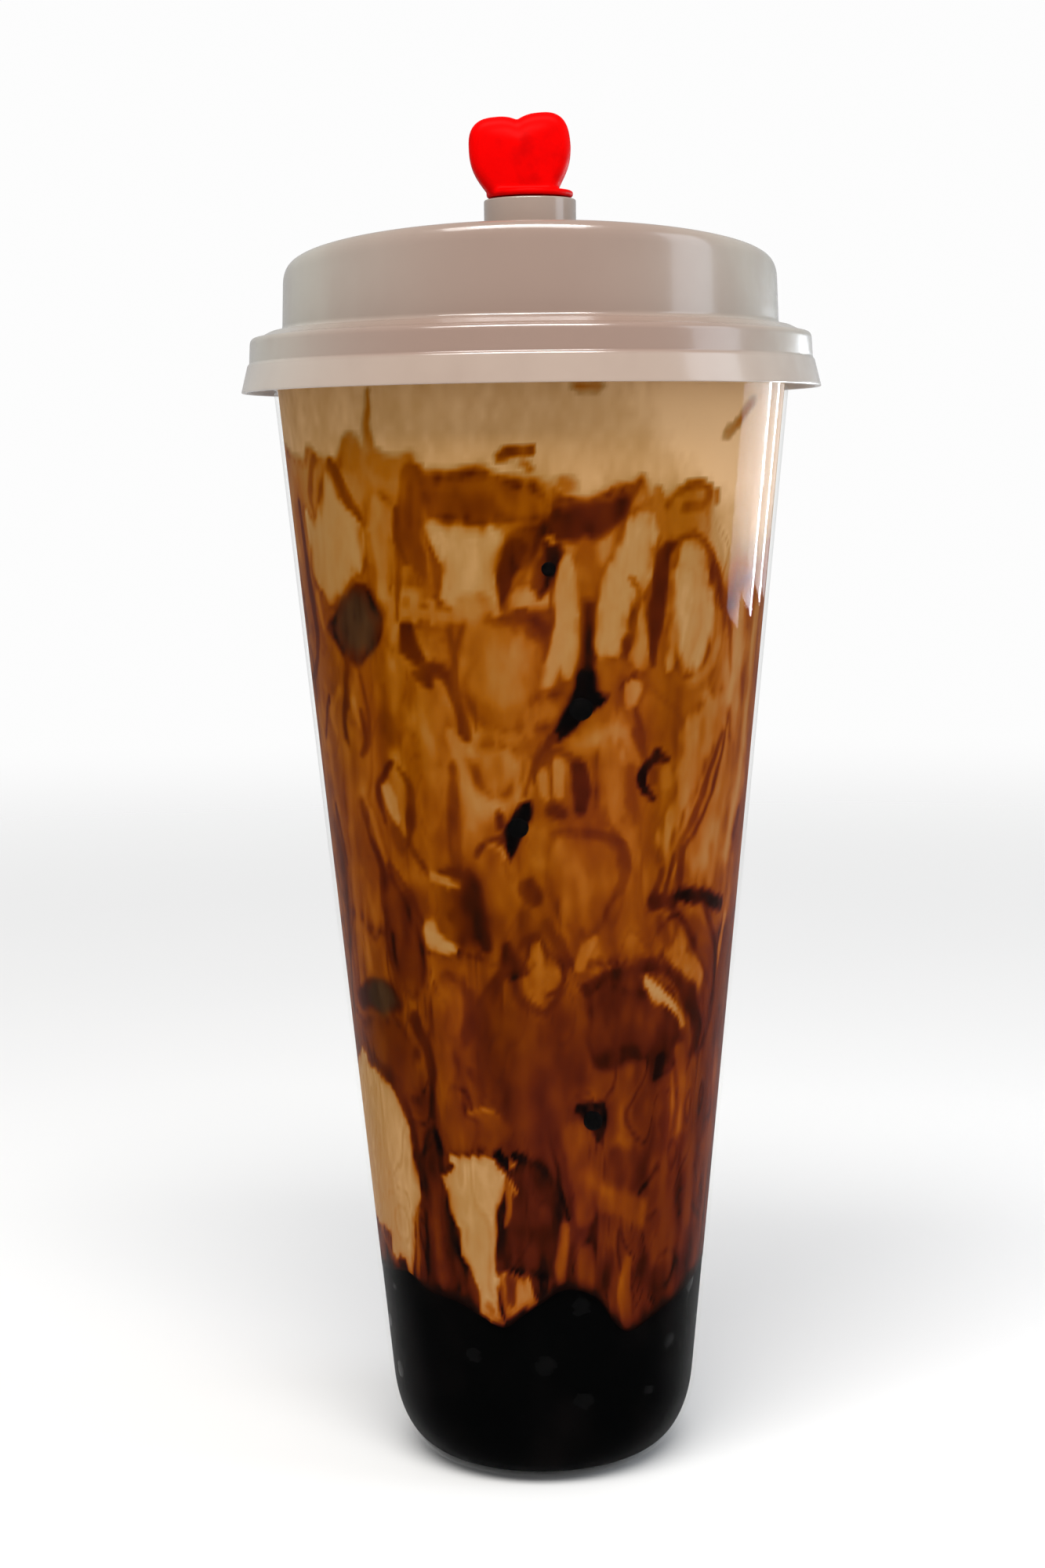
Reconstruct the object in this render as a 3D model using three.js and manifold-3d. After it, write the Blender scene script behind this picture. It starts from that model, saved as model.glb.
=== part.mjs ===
// A tall cup of iced milk tea with tapioca pearls, closed by a sip lid and a heart stopper.
// Millimetres, +Z up. The origin is the centre of the cup's foot, and the stopper faces -Y.
import * as THREE from "three";
import { mergeVertices } from "three/addons/utils/BufferGeometryUtils.js";
import Module from "manifold-3d";

// Cup: a thin cone with a rounded foot and a beaded lip
const cupHeight = 186.8;
const coneFoot = 25.1; // radius where the cone's outer face would meet the table
const taper = 0.0954; // growth of the radius for each millimetre of height
const wall = 0.8;
const floorThickness = 1.0;
const cornerRun = 8.6;
const cornerRise = 13;
const lipReach = 1.7; // how far the bead stands out from the wall
const lipDepth = 2.2;

// Lid: skirt, glossy band, shoulder, and a raised wall whose top slants down to the back
const lidWall = 0.9;
const skirtBottom = 179;
const skirtRadius = 47.5;
const bandBottom = 183.4;
const bandRadius = 46.1;
const shoulderTop = 188.9; // where the raised wall stands on the shoulder
const shoulderDrop = 1.4; // fall of the shoulder from the wall out to the band
const drumRadius = 40.6;
const drumTopRadius = 40.2;
const rimTop = 199.0; // crest of the raised wall at the lid's sides
const rimRound = 3.0;
const deckSink = 1.1;
const slant = 4.4; // rise of the crest at the front, and drop at the back

// Spout collar near the front of the deck
const spoutOffset = 29.5;
const spoutTop = 206.9;
const spoutRadius = 7.0;
const spoutFlare = 1.6;
const boreRadius = 5.2;

// Stopper: pin, disc and heart
const fitGap = 0.3; // between neighbouring pieces
const pinLength = 8.5;
const discRadius = 6.6;
const discThickness = 1.0;
const heartWidth = 15.5;
const heartHeight = 11.2; // from the disc to the tops of the lobes
const heartNotch = 0.9;
const heartFoot = 10.8; // width where the heart stands on its disc
const heartDepth = 8;
const heartRound = 1.9; // rounding of the heart's edges
const heartLean = 5; // degrees, towards -X
const heartShift = 0.9; // the heart's foot stands this far towards -X

// Drink and pearls
const teaLevel = 182.5;
const teaFloor = 31;
const pearlRadius = 4.55;
const pearlSpread = 0.06; // share by which pearls differ in size
const pearlSpacing = 1.03; // in pearl diameters, along a ring
const coreInset = 4.2; // the core lies this far inside the pearls' outer reach
const coreTop = 28.5;

const roundSides = 64;
const smallSides = 24;
const curveSteps = 4;
const footSteps = 6; // along the rounding of the cup's foot

const wasm = await Module();
wasm.setup();

// Radius of the cup's outer face on the straight part of the cone
const coneRadius = (z) => coneFoot + taper * z;

// Repeatable random numbers from 0 to 1
let seed = 20;
function random() {
  seed = (seed * 1664525 + 1013904223) % 4294967296;
  return seed / 4294967296;
}

// A closed three.js geometry as a solid for joining and cutting
function toSolid(geometry) {
  const bare = geometry.clone();
  bare.deleteAttribute("normal");
  bare.deleteAttribute("uv");
  const merged = mergeVertices(bare, 1e-4);
  const corners = [];
  for (let i = 0; i < merged.index.count; i += 3) {
    const [a, b, c] = merged.index.array.slice(i, i + 3);
    if (a !== b && b !== c && c !== a) corners.push(a, b, c);
  }
  return new wasm.Manifold(
    new wasm.Mesh({
      numProp: 3,
      vertProperties: merged.attributes.position.array,
      triVerts: new Uint32Array(corners),
    }),
  );
}

// A solid back as a three.js geometry
function toGeometry(solid) {
  const { vertProperties, triVerts } = solid.getMesh();
  const geometry = new THREE.BufferGeometry();
  geometry.setAttribute("position", new THREE.BufferAttribute(vertProperties, 3));
  geometry.setIndex(new THREE.BufferAttribute(triVerts, 1));
  geometry.computeVertexNormals();
  return geometry;
}

// A path of (radius, height) turned round the Z axis
function turned(path, sides = roundSides, steps = curveSteps) {
  const geometry = new THREE.LatheGeometry(path.getPoints(steps), sides);
  return geometry.rotateX(Math.PI / 2);
}

// Moves every vertex of a geometry by a rule
function reshape(geometry, rule) {
  const place = geometry.attributes.position;
  const point = new THREE.Vector3();
  for (let i = 0; i < place.count; i += 1) {
    rule(point.fromBufferAttribute(place, i));
    place.setXYZ(i, point.x, point.y, point.z);
  }
  return geometry;
}

// Draws the cup's outline from the axis up to a height, set inwards by a distance
function footAndWall(path, inset, floor, top) {
  const run = cornerRun - inset;
  const wallRadius = coneRadius(cornerRise) - inset;
  const pullOut = 0.55 * run;
  const pullDown = 0.55 * (cornerRise - inset);
  path.moveTo(0, floor);
  path.lineTo(wallRadius - run, floor);
  path.bezierCurveTo(
    wallRadius - run + pullOut, floor,
    wallRadius - taper * pullDown, cornerRise - pullDown,
    wallRadius, cornerRise,
  );
  path.lineTo(coneRadius(top) - inset, top);
  return path;
}

// Carries the path on down the cup's inner face, from a height to the axis
function innerWall(path, top) {
  const down = footAndWall(new THREE.Path(), wall, floorThickness, top);
  const points = down.getPoints(curveSteps).reverse();
  points.forEach((point) => path.lineTo(point.x, point.y));
  return path;
}

function makeCup() {
  const lipFoot = cupHeight - lipDepth;
  const outer = coneRadius(lipFoot);
  const reach = outer + lipReach;
  const path = footAndWall(new THREE.Path(), 0, 0, lipFoot);
  path.lineTo(reach - lipReach / 3, lipFoot);
  path.lineTo(reach, lipFoot + lipDepth / 3);
  path.lineTo(reach, cupHeight - lipDepth / 3);
  path.lineTo(reach - lipReach / 3, cupHeight);
  path.lineTo(outer - wall + lipReach / 3, cupHeight);
  path.lineTo(outer - wall, lipFoot);
  innerWall(path, lipFoot - wall);
  return turned(path, roundSides, footSteps);
}

// The lid's shell before its top is slanted, from under the deck round the skirt and up outside
function lidOutline() {
  const deckTop = rimTop - deckSink;
  const deckEdge = drumTopRadius - 3 * rimRound / 2 - deckSink;
  const drumTop = rimTop - rimRound;
  const bandTop = shoulderTop - shoulderDrop;
  const path = new THREE.Path();
  path.moveTo(0, deckTop - lidWall);
  path.lineTo(drumTopRadius - 2 * lidWall, deckTop - lidWall);
  path.lineTo(drumTopRadius - lidWall, deckTop - 2 * lidWall);
  path.lineTo(drumRadius - lidWall, shoulderTop - lidWall / 2);
  path.lineTo(bandRadius - 2 * lidWall, bandTop - lidWall / 2);
  path.lineTo(bandRadius - lidWall, bandTop - 3 * lidWall / 2);
  path.lineTo(bandRadius - lidWall, bandBottom);
  path.lineTo(skirtRadius - lidWall, skirtBottom);
  path.lineTo(skirtRadius, skirtBottom);
  path.lineTo(bandRadius + lidWall / 3, bandBottom);
  path.lineTo(bandRadius, bandBottom + lidWall / 3);
  path.lineTo(bandRadius - lidWall / 4, bandTop - lidWall);
  path.quadraticCurveTo(
    bandRadius - lidWall / 3, bandTop + lidWall / 4,
    bandRadius - 2 * lidWall, bandTop + lidWall / 2,
  );
  path.lineTo(drumRadius + 2 * lidWall, shoulderTop);
  path.quadraticCurveTo(drumRadius, shoulderTop, drumRadius, shoulderTop + lidWall);
  path.lineTo(drumTopRadius, drumTop);
  path.quadraticCurveTo(drumTopRadius, rimTop, drumTopRadius - rimRound, rimTop);
  path.bezierCurveTo(
    deckEdge + deckSink / 2, rimTop,
    deckEdge + deckSink, deckTop,
    deckEdge, deckTop,
  );
  path.lineTo(0, deckTop);
  return path;
}

// Height that the slant adds at a depth y of the deck
const slantAt = (y) => (slant * -y) / drumTopRadius;

function makeLid() {
  const slantFoot = shoulderTop + lidWall;
  const slantFull = rimTop - deckSink - 2 * lidWall;
  const shell = reshape(turned(lidOutline()), (point) => {
    const share = THREE.MathUtils.clamp((point.z - slantFoot) / (slantFull - slantFoot), 0, 1);
    point.z += share * slantAt(point.y);
  });

  // The collar's foot follows the slanted deck and its top is level
  const collarFoot = rimTop - deckSink - lidWall / 2 + slantAt(-spoutOffset);
  const flareTop = collarFoot + 2 * spoutFlare;
  const path = new THREE.Path();
  path.moveTo(0, collarFoot);
  path.lineTo(spoutRadius + spoutFlare, collarFoot);
  path.quadraticCurveTo(spoutRadius, collarFoot + lidWall, spoutRadius, flareTop);
  path.lineTo(spoutRadius, spoutTop - lidWall / 3);
  path.lineTo(spoutRadius - lidWall / 3, spoutTop);
  path.lineTo(0, spoutTop);
  const collar = reshape(turned(path, smallSides), (point) => {
    const share = THREE.MathUtils.clamp((spoutTop - point.z) / (spoutTop - collarFoot), 0, 1);
    point.z += share * slantAt(point.y);
  });
  collar.translate(0, -spoutOffset, 0);

  const bore = new THREE.CylinderGeometry(boreRadius, boreRadius, cupHeight, smallSides);
  bore.rotateX(Math.PI / 2).translate(0, -spoutOffset, spoutTop);
  return toGeometry(toSolid(shell).add(toSolid(collar)).subtract(toSolid(bore)));
}

// The heart's outline without its rounded edges, on X and Y, standing on the X axis
function heartOutline() {
  const half = heartWidth / 2 - heartRound;
  const foot = heartFoot / 2 - heartRound;
  const top = heartHeight - heartRound;
  const widest = 0.66 * top;
  const notch = top - heartNotch;
  const path = new THREE.Path();
  path.moveTo(foot, 0);
  path.bezierCurveTo(foot, widest / 4, half, widest / 2, half, widest);
  path.bezierCurveTo(half, top, 0.9 * half, top, half / 2, top);
  path.bezierCurveTo(half / 5, top, half / 10, notch, 0, notch);
  const right = path.getPoints(curveSteps + 2);
  const left = right.slice(0, -1).reverse();
  return new THREE.Shape([...right, ...left.map(({ x, y }) => new THREE.Vector2(-x, y))]);
}

// The stopper about its own axis, with the disc's underside at height zero
function makeStopper() {
  const depth = heartDepth - 2 * heartRound;
  const heart = new THREE.ExtrudeGeometry(heartOutline(), {
    depth,
    bevelThickness: heartRound,
    bevelSize: heartRound,
    bevelSegments: curveSteps,
  });
  heart.translate(0, 0, -depth / 2).rotateX(Math.PI / 2);
  heart.rotateY(THREE.MathUtils.degToRad(-heartLean)).translate(-heartShift, 0, discThickness);

  const pinRadius = boreRadius - fitGap;
  const edge = discThickness / 3;
  const path = new THREE.Path();
  path.moveTo(0, -pinLength);
  path.lineTo(pinRadius - 2 * edge, -pinLength);
  path.lineTo(pinRadius, 2 * edge - pinLength);
  path.lineTo(pinRadius, 0);
  path.lineTo(discRadius - edge, 0);
  path.lineTo(discRadius, edge);
  path.lineTo(discRadius, discThickness - edge);
  path.lineTo(discRadius - edge, discThickness);
  path.lineTo(0, discThickness);
  const pin = turned(path, smallSides);

  // The heart ends flat inside its disc
  const below = new THREE.BoxGeometry(2 * heartWidth, 2 * heartWidth, heartHeight);
  below.translate(0, 0, (discThickness - heartHeight) / 2);
  return toGeometry(toSolid(heart).subtract(toSolid(below)).add(toSolid(pin)));
}

// Where the pearls lie: rings against the wall, from the foot up, and the loose top of the heap
function pearlPlaces() {
  const reach = wall + fitGap + pearlRadius * (1 + pearlSpread);
  const low = floorThickness + fitGap + pearlRadius * (1 + pearlSpread);
  const rings = [
    { radius: 0, height: low, lift: 0 },
    { radius: 9.4, height: low, lift: 0 },
    { radius: 16.6, height: low + 3.0, lift: 0 },
    { radius: coneRadius(15.5) - reach, height: 15.5, lift: 0.5 },
    { radius: coneRadius(23.2) - reach, height: 23.2, lift: 0.7 },
    { radius: coneRadius(31.0) - reach, height: 31.0, lift: 1.6 },
    { radius: 12.6, height: 31.2, lift: 1.4 },
    { radius: 3.2, height: 31.6, lift: 0.8 },
  ];
  const places = [];
  rings.forEach(({ radius, height, lift }, level) => {
    const room = (2 * Math.PI * radius) / (2 * pearlRadius * pearlSpacing);
    const count = Math.max(1, Math.floor(room));
    for (let i = 0; i < count; i += 1) {
      const angle = (2 * Math.PI * (i + (level % 2) / 2)) / count;
      const z = height + lift * (2 * random() - 1);
      // A raised or lowered pearl keeps its distance to the sloping wall
      const out = radius + taper * Math.min(0, z - height);
      const size = pearlRadius * (1 + pearlSpread * (2 * random() - 1));
      const turn = new THREE.Euler(Math.PI * random(), Math.PI * random(), Math.PI * random());
      places.push({ x: out * Math.sin(angle), y: -out * Math.cos(angle), z, size, turn });
    }
  });
  return places;
}

// The heap of pearls over its core, grown by a gap on all sides
function pearlHeap(places, grow) {
  const reach = wall + fitGap + coreInset - grow;
  const foot = floorThickness + fitGap + coreInset - grow;
  const path = footAndWall(new THREE.Path(), reach, foot, coreTop + grow);
  path.lineTo(0, coreTop + grow);
  let heap = toSolid(turned(path, smallSides));
  places.forEach(({ x, y, z, size, turn }) => {
    const pearl = new THREE.OctahedronGeometry(size + grow, 1);
    const matrix = new THREE.Matrix4().makeRotationFromEuler(turn);
    heap = heap.add(toSolid(pearl.applyMatrix4(matrix.setPosition(x, y, z))));
  });
  return heap;
}

// The drink fills the cup from the top of the heap up to its level
function makeTea(places) {
  const inset = wall + fitGap;
  const path = new THREE.Path();
  path.moveTo(0, teaFloor);
  path.lineTo(coneRadius(teaFloor) - inset, teaFloor);
  path.lineTo(coneRadius(teaLevel) - inset, teaLevel);
  path.lineTo(0, teaLevel);
  return toGeometry(toSolid(turned(path)).subtract(pearlHeap(places, fitGap)));
}

function named(name, geometry, looks) {
  const mesh = new THREE.Mesh(geometry, new THREE.MeshStandardMaterial(looks));
  mesh.name = name;
  return mesh;
}

const places = pearlPlaces();
const contents = new THREE.Group();
contents.add(
  named("milk_tea", makeTea(places), { color: 0xa86a2c, roughness: 0.35, metalness: 0 }),
  named("pearls", toGeometry(pearlHeap(places, 0)), { color: 0x120c09, roughness: 0.15, metalness: 0 }),
);

const stopper = named("stopper", makeStopper(), { color: 0xe00808, roughness: 0.3, metalness: 0 });
stopper.position.set(0, -spoutOffset, spoutTop + fitGap);
const closure = new THREE.Group();
closure.add(named("lid", makeLid(), { color: 0xd9d2ca, roughness: 0.22, metalness: 0 }), stopper);

const clear = { color: 0xf2efe9, roughness: 0.06, metalness: 0, transparent: true, opacity: 0.25 };
const bubbleTea = new THREE.Group();
bubbleTea.add(named("cup", makeCup(), clear), contents, closure);

export default bubbleTea;
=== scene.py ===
# Looks of the bubble tea: clear cup, streaked drink, pearls in syrup, sip lid and heart stopper
import math
import bmesh
import bpy
import numpy as np
from mathutils import Euler, Matrix, Vector


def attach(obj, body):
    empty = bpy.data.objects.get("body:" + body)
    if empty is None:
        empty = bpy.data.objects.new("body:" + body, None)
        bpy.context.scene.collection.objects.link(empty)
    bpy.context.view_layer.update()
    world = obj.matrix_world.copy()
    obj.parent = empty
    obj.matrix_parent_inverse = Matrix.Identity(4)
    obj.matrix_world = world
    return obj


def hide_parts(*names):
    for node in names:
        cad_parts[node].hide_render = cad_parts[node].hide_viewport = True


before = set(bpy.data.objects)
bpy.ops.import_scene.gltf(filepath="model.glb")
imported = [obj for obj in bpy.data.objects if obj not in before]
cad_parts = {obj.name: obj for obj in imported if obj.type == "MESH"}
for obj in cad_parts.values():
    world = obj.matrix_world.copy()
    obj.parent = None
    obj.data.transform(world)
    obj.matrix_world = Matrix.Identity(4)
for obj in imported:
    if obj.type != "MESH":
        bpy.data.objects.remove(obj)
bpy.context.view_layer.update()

scene = bpy.context.scene
mm = 0.001  # shapes are drawn in millimetres and stored in metres


# A socket that can stand in an expression
class Wire:
    def __init__(self, finish, socket):
        self.finish = finish
        self.socket = socket

    def __add__(self, other):
        return self.finish.maths("ADD", self, other)

    def __sub__(self, other):
        return self.finish.maths("SUBTRACT", self, other)

    def __rsub__(self, other):
        return self.finish.maths("SUBTRACT", other, self)

    def __mul__(self, other):
        return self.finish.maths("MULTIPLY", self, other)

    def __pow__(self, other):
        return self.finish.maths("POWER", self, other)

    __radd__ = __add__
    __rmul__ = __mul__


# One node tree with its output, for a material or for the world
class Finish:
    def __init__(self, owner, kind="Material"):
        owner.use_nodes = True
        self.owner = owner
        self.tree = owner.node_tree
        self.tree.nodes.clear()
        self.output = self.tree.nodes.new("ShaderNodeOutput" + kind)

    def feed(self, socket, value):
        if isinstance(value, Wire):
            self.tree.links.new(value.socket, socket)
        else:
            socket.default_value = value

    def node(self, kind, settings, sockets, out=0):
        made = self.tree.nodes.new("ShaderNode" + kind)
        for key, value in settings.items():
            if key == "stops":
                ramp = made.color_ramp
                while len(ramp.elements) < len(value):
                    ramp.elements.new(1.0)
                for element, (place, tint) in zip(ramp.elements, value):
                    element.position = place
                    element.color = tint
            else:
                setattr(made, key, value)
        for key, value in sockets.items():
            self.feed(made.inputs[key], value)
        return Wire(self, made.outputs[out])

    def maths(self, operation, a, b):
        return self.node("Math", {"operation": operation}, {0: a, 1: b})

    def clamp(self, value):
        return self.node("Clamp", {}, {0: value})

    def smooth(self, value, low, high):
        return self.node("MapRange", {"interpolation_type": "SMOOTHSTEP"}, {0: value, 1: low, 2: high})

    def blend(self, a, b, factor):
        return self.node("Mix", {"data_type": "RGBA"}, {0: factor, 6: a, 7: b}, out=2)

    def place(self, stretch=(1.0, 1.0, 1.0)):
        spot = self.node("TexCoord", {}, {}, out="Object")
        return self.node("VectorMath", {"operation": "MULTIPLY"}, {0: spot, 1: stretch})

    def noise(self, size, stretch=(1.0, 1.0, 1.0), detail=2.0, rough=0.5):
        scale = 1.0 / (size * mm)
        sockets = {"Vector": self.place(stretch), "Scale": scale, "Detail": detail, "Roughness": rough}
        return self.node("TexNoise", {}, sockets, out="Fac")

    def bump(self, height, strength, distance):
        return self.node("Bump", {}, {"Height": height, "Strength": strength, "Distance": distance * mm})

    def plastic(self, **sockets):
        named = {key.replace("_", " "): value for key, value in sockets.items()}
        return self.node("BsdfPrincipled", {}, named)

    def done(self, shader):
        self.feed(self.output.inputs["Surface"], shader)
        return self.owner


def newFinish(name):
    return Finish(bpy.data.materials.new(name))


# A display colour of 0 to 255 as the linear colour that shaders take
def tint(red, green, blue):
    share = [value / 255 for value in (red, green, blue)]
    return (*[v / 12.92 if v <= 0.04045 else ((v + 0.055) / 1.055) ** 2.4 for v in share], 1.0)


def meshFrom(name, points, faces):
    mesh = bpy.data.meshes.new(name)
    mesh.from_pydata((np.asarray(points) * mm).tolist(), [], [list(map(int, face)) for face in faces])
    return mesh


# Merges points that coincide, turns the faces outwards and shades them smooth up to an angle
def cleanMesh(mesh, crease=38):
    work = bmesh.new()
    work.from_mesh(mesh)
    bmesh.ops.remove_doubles(work, verts=work.verts, dist=1e-3 * mm)
    bmesh.ops.recalc_face_normals(work, faces=work.faces)
    work.to_mesh(mesh)
    work.free()
    mesh.polygons.foreach_set("use_smooth", [True] * len(mesh.polygons))
    mesh.set_sharp_from_angle(angle=math.radians(crease))
    return mesh


def addPiece(name, mesh, finishes, replaced=()):
    piece = bpy.data.objects.new(name, mesh)
    scene.collection.objects.link(piece)
    for finish in finishes:
        mesh.materials.append(finish)
    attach(piece, "root")
    if replaced:
        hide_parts(*replaced)
    print("piece", name, "faces", len(mesh.polygons))
    return piece


# Points on a ring of the given radius; angle 0 faces the front, -Y, and grows towards +X
def onRing(radius, angle, height):
    return np.stack(np.broadcast_arrays(radius * np.sin(angle), -radius * np.cos(angle), height), axis=-1)


# Quads of a grid of rows by columns, the columns closed into a ring
def ringFaces(rows, columns):
    index = np.arange(rows * columns).reshape(rows, columns)
    right = np.roll(index, -1, axis=1)
    return np.stack([index[:-1], right[:-1], right[1:], index[1:]], axis=-1).reshape(-1, 4)


def turned(name, profile, sides, crease=38):
    profile = np.array(profile, dtype=float)
    angle = np.arange(sides) * 2 * math.pi / sides
    points = onRing(profile[:, :1], angle[None, :], profile[:, 1:])
    return cleanMesh(meshFrom(name, points.reshape(-1, 3), ringFaces(len(profile), sides)), crease)


# A path through corners (radius, height, reach); reach is how far before the corner its rounding starts
def rounded(corners, steps=7):
    spots = [np.array(corner[:2], dtype=float) for corner in corners]
    path = [spots[0]]
    for before, here, after, corner in zip(spots, spots[1:], spots[2:], corners[1:]):
        reach = corner[2] if len(corner) > 2 else 0
        if not reach:
            path.append(here)
            continue
        start = here + (before - here) * min(reach / np.linalg.norm(before - here), 0.5)
        end = here + (after - here) * min(reach / np.linalg.norm(after - here), 0.5)
        for t in np.linspace(0, 1, steps):
            path.append((1 - t) ** 2 * start + 2 * t * (1 - t) * here + t * t * end)
    path.append(spots[-1])
    return path


def bezier(a, b, c, d, steps):
    t = np.linspace(0, 1, steps + 1)[:, None]
    a, b, c, d = (np.array(point, dtype=float) for point in (a, b, c, d))
    return (1 - t) ** 3 * a + 3 * t * (1 - t) ** 2 * b + 3 * t * t * (1 - t) * c + t ** 3 * d


# Clear cup
cup = {
    "height": 186.8,
    "coneFoot": 25.1,  # radius where the cone would meet the table
    "taper": 0.0954,
    "wall": 0.8,
    "floor": 1.0,
    "cornerRun": 8.6,
    "cornerRise": 13,
    "lipReach": 1.7,
    "lipDepth": 2.2,
    "sides": 192,
    "steps": 16,
    "grazing": 0.36,  # share of light that the wall mirrors at its outline
    "facing": 0.001,  # and straight on
}


def coneRadius(z):
    return cup["coneFoot"] + cup["taper"] * z


# Axis, flat floor, rounded foot and straight wall of the cup, set inwards by a distance
def footPath(inset, floor, top):
    run = cup["cornerRun"] - inset
    rise = cup["cornerRise"]
    wallRadius = coneRadius(rise) - inset
    pullDown = 0.55 * (rise - inset)
    start = (wallRadius - run, floor)
    pullOut = (wallRadius - run + 0.55 * run, floor)
    pullIn = (wallRadius - cup["taper"] * pullDown, rise - pullDown)
    curve = bezier(start, pullOut, pullIn, (wallRadius, rise), cup["steps"])
    return [(0, floor), *map(tuple, curve), (coneRadius(top) - inset, top)]


def makeCup():
    lipFoot = cup["height"] - cup["lipDepth"]
    outer = coneRadius(lipFoot)
    inner = outer - cup["wall"]
    reach = outer + cup["lipReach"]
    bead = cup["lipDepth"] / 2
    lip = [
        (outer, lipFoot - bead),
        (outer, lipFoot, 0.2),
        (reach, lipFoot, bead),
        (reach, cup["height"], bead),
        (inner + cup["lipReach"] / 3, cup["height"], 0.4),
        (inner, lipFoot, 0.4),
        (inner - cup["taper"] * cup["wall"], lipFoot - cup["wall"]),
    ]
    outside = footPath(0, 0, lipFoot - bead)
    inside = footPath(cup["wall"], cup["floor"], lipFoot - cup["wall"])
    mesh = turned("cup_shell", outside + rounded(lip)[1:-1] + inside[::-1], cup["sides"])
    # The inner face touches the drink, so only the outer face mirrors the room
    for face in mesh.polygons:
        spot = face.center
        inwards = face.normal.x * spot.x + face.normal.y * spot.y
        face.material_index = int(inwards < 0 or face.normal.z > 0.9)
    return mesh


def clearOutside():
    finish = newFinish("clear cup outside")
    edge = finish.node("LayerWeight", {}, {"Blend": 0.5}, out="Facing")
    wave = finish.noise(26, (1, 1, 0.35), detail=1.0)
    scuff = finish.noise(5, (1, 1, 0.3), detail=4.0)
    bent = finish.bump(wave, 0.25, 0.4)
    rough = 0.035 + 0.05 * finish.smooth(scuff, 0.45, 0.8)
    gloss = finish.node(
        "BsdfAnisotropic", {}, {"Color": (1, 1, 1, 1), "Roughness": rough, "Normal": bent}
    )
    through = finish.node("BsdfTransparent", {}, {"Color": (0.985, 0.985, 0.98, 1)})
    share = cup["facing"] + cup["grazing"] * edge ** 6
    return finish.done(finish.node("MixShader", {}, {0: share, 1: through, 2: gloss}))


def clearInside():
    finish = newFinish("clear cup inside")
    edge = finish.node("LayerWeight", {}, {"Blend": 0.5}, out="Facing")
    gloss = finish.node("BsdfAnisotropic", {}, {"Color": (1, 1, 1, 1), "Roughness": 0.1})
    through = finish.node("BsdfTransparent", {}, {"Color": (0.99, 0.99, 0.985, 1)})
    return finish.done(finish.node("MixShader", {}, {0: 0.01 * edge ** 4, 1: through, 2: gloss}))


# The photograph's camera, about the object's frame
viewpoint = {
    "distance": 430.0,
    "height": 167.9,
    "side": -2.28,
    "pitch": 7.18,  # degrees downwards
    "roll": -0.75,
    "focal": 3293.0,  # in pixels of the photograph
    "wide": 1333,
    "high": 2000,
}

# Drink: milk with syrup streaks, as a skin of tones from 0, cream, to 1, black syrup
drink = {
    "into": 0.15,  # how far the drink reaches into the wall
    "level": 182.5,
    "meniscus": 0.5,
    "core": 33.0,
    "columns": 512,
    "rows": 186,
    "roll": 35.0,  # radius at which the skin is unrolled for painting
    # photograph pixels of the line between the drink and the dark bed
    "bedLine": [
        (478, 1612), (505, 1620), (522, 1622), (545, 1645), (582, 1660), (612, 1678), (642, 1694),
        (668, 1678), (692, 1662), (722, 1645), (760, 1655), (786, 1690), (804, 1698), (830, 1680),
        (860, 1655), (890, 1618), (903, 1598),
    ],
    "bedHeight": 33.0,
    "outline": 1.47,  # angle at which the cup's side turns out of sight
    "slip": 11.0,
    "bedBlend": 1.6,  # height over which the drink darkens towards the bed
    # tone of the plain drink by height; the milk gets paler towards the top, partly its own colour and partly
    # painted light that makes up for the lid's shadow
    "base": [
        (28, 0.76), (45, 0.70), (66, 0.62), (90, 0.53), (118, 0.47), (148, 0.43), (155, 0.20),
        (166, 0.07), (183, 0.04),
    ],
    "soft": 8,  # of a brush stroke, in pixels of the photograph
    # display colours by tone, where the syrup looks olive and where it looks red
    "olive": [
        (0.00, (206, 164, 116)), (0.06, (180, 138, 88)), (0.12, (160, 118, 66)),
        (0.22, (152, 102, 42)), (0.33, (144, 82, 10)),
        (0.42, (128, 65, 1)), (0.50, (112, 52, 1)), (0.58, (97, 41, 1)), (0.66, (84, 31, 1)),
        (0.74, (70, 23, 2)), (0.82, (52, 16, 3)), (0.90, (27, 10, 5)), (1.00, (5, 4, 4)),
    ],
    "red": [
        (0.00, (214, 174, 134)), (0.06, (190, 148, 102)), (0.12, (172, 128, 82)),
        (0.22, (166, 108, 58)), (0.33, (154, 82, 26)),
        (0.42, (134, 63, 14)), (0.50, (116, 47, 14)), (0.58, (102, 38, 15)), (0.66, (89, 30, 16)),
        (0.74, (74, 23, 15)), (0.82, (52, 15, 7)), (0.90, (29, 10, 7)), (1.00, (5, 4, 4)),
    ],
}

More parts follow.
